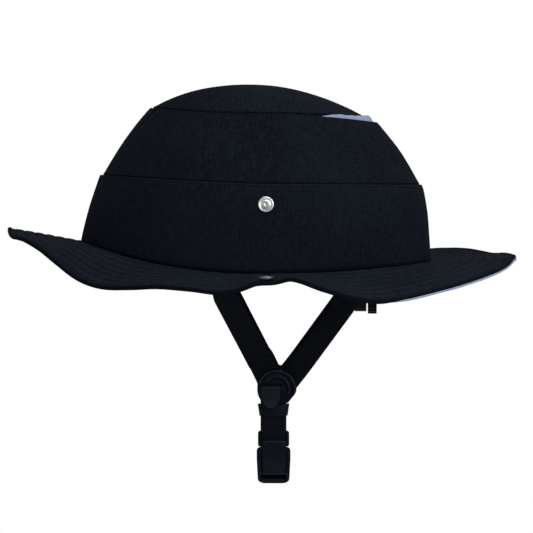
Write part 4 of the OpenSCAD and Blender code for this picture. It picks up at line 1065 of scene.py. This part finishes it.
dividerBeads = {  # radius, first and last angle, height over the strap's middle, thickness, look; the beads carry a painted highlight, the dark tubes are painted shade in the angle beside the rims
    "rimBead": (14.4, -12, 205, 4.55, 0.6, buckleHighlight), "rimShadeTube": (12.9, -12, 148, 3.75, 0.5, buckleShade),
    "innerBead": (9.7, -28, 143, 3.8, 0.6, buckleHighlight), "innerShadeTube": (8.5, -28, 140, 3.75, 0.4, buckleShade)}
for side, sign in (("Left", -1), ("Right", 1)):
    for name, (radius, low, high, out, thick, look) in dividerBeads.items():
        a = np.radians(np.linspace(low, high, 60))
        circle = np.stack([dividerX + radius * np.cos(a), np.full(60, sign * (strap["y"] + out)),
                           dividerZ + radius * np.sin(a)], -1)
        makeBead(name + side, circle, thick, look, "helmet")
socketBeads = {  # corners (x, z), y, bend, thickness, look; the panel's dark tube is painted shade round its sides, the pale beads a painted highlight on its top and on the bar
    "panelShadeTube": (((4.9, -141), (4.9, -158.8), (24.3, -158.8), (24.3, -141)), -70.25, 2.5, 0.5, buckleShade),
    "panelTop": (((6.6, -137.4), (6.6, -134.9), (22.6, -134.9), (22.6, -137.4)), -71.0, 2.2, 0.6, buckleHighlight),
    "barBead": (((5.6, -160.3), (22.4, -160.3)), -70.15, 1, 0.6, buckleHighlight)}
for name, (corners, y, bendRadius, thick, look) in socketBeads.items():
    makeBead(name, roundedPath([(x, y, z) for x, z in corners], bendRadius, 0.8), thick, look, "socket")
backPlate = {"y": -62.85, "z": -134.95, "thin": 0.24, "tall": 3.9}  # a bead pressed flat behind the strap ends
plugBack = makeBead("plugBack", [(strap["x"] + x, backPlate["y"], backPlate["z"])
                                 for x in (-11.3, -11.2, -11, 0, 11, 11.2, 11.3)], 1, bucklePlastic, "helmet")
for v in plugBack.data.vertices:
    v.co.y = backPlate["y"] * mm + (v.co.y - backPlate["y"] * mm) * backPlate["thin"]
    v.co.z = backPlate["z"] * mm + (v.co.z - backPlate["z"] * mm) * backPlate["tall"]

bandRoute = [[-22, -80, 5], [0, -80, 2], [24, -77.5, -2.5], [46, -70, -7], [63, -60, -10], [75, -50.5, -12]]
bandEnd = {"x": 82.5, "y": 45.8, "z": -18.0, "mid": 7.35}
for node, sign, body in (("fit_band_left", -1, "rack_l"), ("fit_band_right", 1, "rack_r")):
    endZ = bandEnd["z"] - sign * bandEnd["mid"]
    route = [[x, y * -sign, z + (sign > 0) * (endZ + 12) * (k / 6) ** 2] for k, (x, y, z) in enumerate(bandRoute)]
    route = route + [[bandEnd["x"], sign * bandEnd["y"], endZ]]
    piece = makeBand(pieceName(node), route, (0, 0, 1), 9.0, 1.2, fitPlastic, radius=14)
    dress(piece, "fit_plastic", None, node)
    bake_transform(piece)
print("fit system done")


headSpace = {"front": 108.0, "rear": 106.0, "half": 84.0, "top": 116.0}
rimRing = lower(hemRing, 4)


def headAt(a, u):
    # u is the climb from the rim to the top, in degrees
    c, s = np.abs(np.cos(np.radians(u))) ** 0.85, np.sin(np.radians(u))
    rings = np.stack([headSpace["front"] * c, headSpace["rear"] * c, headSpace["half"] * c]
                     + [rimRing[k] + (headSpace["top"] - rimRing[k]) * s for k in (frontZ, rearZ, sideZ)]
                     + [np.full(len(u), 2.0)], -1)
    return ringPoints(rings, a)


def skinRings():
    sides = tierRings(hemRing, seamRing, cover["sideSwell"], np.array([0, 1 / 3]))
    middles = tierRings(middleFoot, topRing, cover["middleSwell"], np.array([0, 0.25, 0.5]))
    domes = domeRing(np.minimum([1, 0.86, 0.7, 0.52, 0.33, 0.12], 0.96))
    return np.concatenate([[rimRing], sides[1:], [lower(middleFoot, cover["tuck"])], middles,
                           [lower(shrink(domeFoot, 1), domeTuck)], domes])


def insetRings(rings, d):
    last = len(rings) - 1
    return np.array([shrink(rings[0], d)] + [push(rings[i], rings[i - 1], rings[min(i + 1, last)], -d)
                                             for i in range(1, last + 1)])


def smoothRings(rings):
    # A curve through the rings' numbers that doesn't overshoot
    place = arcLength(rings[:, [0, 2, 5]])
    fine = np.linspace(0, place[-1], 60)
    steps = np.diff(rings, axis=0) / np.diff(place)[:, None]
    inner = np.where(steps[1:] * steps[:-1] > 0, 2 * steps[1:] * steps[:-1] / (steps[1:] + steps[:-1] + 1e-12), 0)
    slopes = np.concatenate([steps[:1], inner, steps[-1:]])
    i = np.clip(np.searchsorted(place, fine, "right") - 1, 0, len(place) - 2)
    h = (place[i + 1] - place[i])[:, None]
    return hermite((fine - place[i])[:, None] / h, h, rings[i], rings[i + 1], slopes[i], slopes[i + 1])


def topCap(points):
    # Rings that close the last ring of (A, S, 3) onto one point
    last = points[:, -1]
    pole = np.array([last[:, 0].mean(), 0, last[:, 2].mean() + 0.6])
    shares = np.array([0.75, 0.5, 0.25, 0.0])
    cap = pole + (last[:, None] - pole) * shares[:, None]
    cap[..., 2] = pole[2] - (pole[2] - last[:, None, 2]) * shares ** 2
    return np.concatenate([points, cap], 1)


shellBearings = np.linspace(0, 2 * np.pi, 180, endpoint=False)
shellOuterRings = insetRings(skinRings(), cover["cloth"] + 1.3)


def ringForm(rings):
    return topCap(ringPoints(smoothRings(rings), shellBearings))


def shellForm(node, inner, outer, look, slotName):
    points = np.concatenate([inner[:, ::-1], outer], 1)
    dress(loft(pieceName(node), points, look, loop=True, closed=False, sharpAngle=45), slotName, "helmet", node)


shellForm("outer_shell", ringForm(insetRings(shellOuterRings, 2.0)), ringForm(shellOuterRings), shellPlastic,
          "shell_plastic")
channel = {"places": (-38.0, 0.0, 38.0), "half": 7.0, "depth": 6.0}  # air channels pressed into the liner
linerInner = headAt(shellBearings, np.linspace(0, 84, 70))
outward = unit(linerInner - np.array([0, 0, 10.0]))
groove = sum(np.exp(-((linerInner[..., 1] - y) / channel["half"]) ** 4) for y in channel["places"])
groove = groove * smoothStep(linerInner[..., 2], 34, 60) * channel["depth"]
shellForm("foam_liner", topCap(linerInner + outward * groove[..., None]),
          ringForm(insetRings(shellOuterRings, 2.3)), beadFoam, "liner_foam")


def makeTrim():
    a = shellBearings
    o = ringPoints(lower(shellOuterRings[0], 0.5), a)[:, 0]
    p = headAt(a, np.array([0.0]))[:, 0] - [0, 0, 0.5]
    out = unit((o - p) * [1, 1, 0])
    edge, across = p - out * 0.6, o - p + out * 0.6
    outline = [edge + across * k for k in np.linspace(0, 1, 9)]  # over the top, then back round below
    for k in np.linspace(0, 1, 13)[1:-1]:
        outline.append(edge + across * (1 - k) - np.array([0, 0, 2.4 * math.sin(math.pi * k) ** 0.5]))
    piece = loft("rimTrim", np.stack(outline, 1), trimRubber, loop=True, sharpAngle=60)
    dress(piece, "trim_rubber", "helmet", "rim_trim")


makeTrim()
pad = {"back": 2.4, "edge": 3.0, "crown": 8.0, "along": 72, "up": 26, "seams": (0.34, 0.66), "fill": 0.7}


def padSwell(x, power=3):
    return np.clip(1 - np.abs(2 * x - 1) ** power, 0, 1)


def finishPad(piece, node):
    dress(piece, "pad_fabric", "helmet", node)


def makePad(node, low, high, foot, head, loop=False):
    # A crowned pad on the wall of the head space: bearings low to high, climbs foot to head, in degrees
    x = np.linspace(0, 1, pad["along"], endpoint=not loop)
    y = np.linspace(0, 1, pad["up"])
    a = np.radians(low + (high - low) * x)
    middle = (foot + head) / 2
    if loop:
        close, ends, sewn = np.ones_like(x), np.ones_like(x), 1 - 0.35 * bump((x * 8) % 1, 0.5, 0.07)
    else:
        close, ends = 1 - 0.45 * np.abs(2 * x - 1) ** 4, np.sqrt(padSwell(x, 6))
        sewn = 1 - 0.4 * sum(bump(x, s, 0.022) for s in pad["seams"])
    climbs = middle + (foot + (head - foot) * y - middle) * close[:, None]
    inner, normal = onRows(headAt, a, climbs, 0.0, (0.006, 0.2))
    normal = normal * np.sign(np.sum(normal * (inner - [0, 0, 20]), -1, keepdims=True))
    full = ends[:, None] * np.sqrt(padSwell(y, 4))
    height = (pad["edge"] * (0.35 + 0.65 * full)
              + (pad["crown"] - pad["edge"]) * full * padSwell(y) ** 0.8 * sewn[:, None])
    faceOut = inner - normal * (pad["back"] + np.maximum(height, 0.4))[..., None]
    points = np.concatenate([(inner - normal * pad["back"])[:, ::-1], faceOut], 1)
    arc = arcLength(headAt(np.append(a, a[0] + 2 * np.pi) if loop else a, np.array([middle]))[:, 0]) * mm
    v = np.concatenate([y[::-1], y, y[-1:]]) * (head - foot) * 0.0017  # metres of the wall to a degree
    finishPad(loft(pieceName(node), points, padFabric, loop=loop, cloth=clothMap(arc, v), sharpAngle=80), node)


makePad("front_pad", 148, 212, 8, 26)
makePad("side_pad_left", 238, 292, 9, 27)
makePad("side_pad_right", 68, 122, 9, 27)
makePad("crown_pad", 0, 360, 54, 70, loop=True)


def makeNapePad():
    nape = {"x": 78.7, "z": -18.0, "wide": 68.0, "tall": 13.5, "bulge": 4.4}
    x, t = np.linspace(0, 1, 60), np.linspace(-1, 1, 22)
    swell = np.sqrt(padSwell(x, 4))
    sewn = 1 - 0.35 * bump(x, 0.5, 0.03)
    crown = 1.0 + (nape["bulge"] - 1.0) * swell[:, None] * (1 - np.abs(t) ** 3) * sewn[:, None]
    crown = crown * np.sqrt(np.clip(1 - t ** 8, 0.02, 1))
    y = (x - 0.5) * nape["wide"]
    z = nape["z"] + (nape["tall"] * (0.7 + 0.3 * swell))[:, None] * t
    faceIn, back = (np.stack(np.broadcast_arrays(nape["x"] - out, y[:, None], z), -1) for out in (crown, 0))
    v = np.concatenate([t, t[::-1], t[:1]]) * nape["tall"]
    finishPad(loft("napePad", np.concatenate([faceIn, back[:, ::-1]], 1), padFabric, cloth=clothMap(y, v) * mm,
                   sharpAngle=80), "nape_pad")


makeNapePad()
print("liner and pads done")

carried = {"pad_dots": trimRubber, "cradle_screws": brightNickel, "dial_pinion": fitPlastic,
           "dial_screw": brightNickel, "rack_left": fitPlastic, "rack_right": fitPlastic,
           "lever_pin_left": bucklePlastic, "lever_pin_right": bucklePlastic}
for node, look in carried.items():  # small pieces that stay as the CAD has them
    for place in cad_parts[node].material_slots:
        place.material = look


def makeFloor():
    look, surface = startLook("studio floor", Specular_IOR_Level=0.1, Roughness=0.9)
    soft = noise(spacePlace(look), 2.0, 2.0)
    look.node_tree.links.new(soft.blend((0.9, 0.9, 0.9), (0.93, 0.93, 0.93)).out, surface.inputs["Base Color"])
    work = bmesh.new()
    bmesh.ops.create_circle(work, cap_ends=True, segments=96, radius=0.62)
    mesh = bpy.data.meshes.new("studioFloor")
    work.to_mesh(mesh)
    work.free()
    mesh.transform(Matrix.Translation((0, 0, -0.24)))
    newObject("studioFloor", mesh, look)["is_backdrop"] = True


makeFloor()
world = bpy.data.worlds.new("studio")
scene.world = world
skyLight = 0.24
world.use_nodes = True
sky = world.node_tree.nodes["Background"]
sky.inputs[0].default_value = (1, 1, 1, 1)
seen = Wire(world.node_tree).add("ShaderNodeLightPath")  # white behind the object, dimmer as a light
world.node_tree.links.new((seen * (1 - skyLight) + skyLight).out, sky.inputs[1])
scene.view_settings.view_transform = "Standard"

lamps = {"keyBox": ((1.5, -1.7, 1.1), 1.3, 27.0), "frontBox": ((-1.7, -1.3, 0.8), 1.0, 3.0),
         "topBox": ((0.3, -0.4, 2.2), 1.8, 34.0)}
for name, (spot, size, power) in lamps.items():
    lamp = bpy.data.lights.new(name, "AREA")
    lamp.size, lamp.energy = size, power
    holder = bpy.data.objects.new(name, lamp)
    holder.location = spot
    holder.rotation_euler = (Vector((0, 0, 0.02)) - Vector(spot)).to_track_quat("-Z", "Y").to_euler()
    scene.collection.objects.link(holder)

shot = {"distance": 8.0, "elevation": 1.0, "width": 0.4264, "x": 0.0084, "z": 0.0028}
lens = bpy.data.cameras.new("photoView")
lens.sensor_width = 36
lens.lens = 36 * shot["distance"] / shot["width"]
lens.clip_end = 60
camera = bpy.data.objects.new("photoView", lens)
scene.collection.objects.link(camera)
tilt = math.radians(shot["elevation"])
camera.location = (shot["x"], -shot["distance"] * math.cos(tilt), shot["z"] + shot["distance"] * math.sin(tilt))
camera.rotation_euler = (math.pi / 2 - tilt, 0, 0)
scene.camera = camera
print("stage done")

low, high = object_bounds()
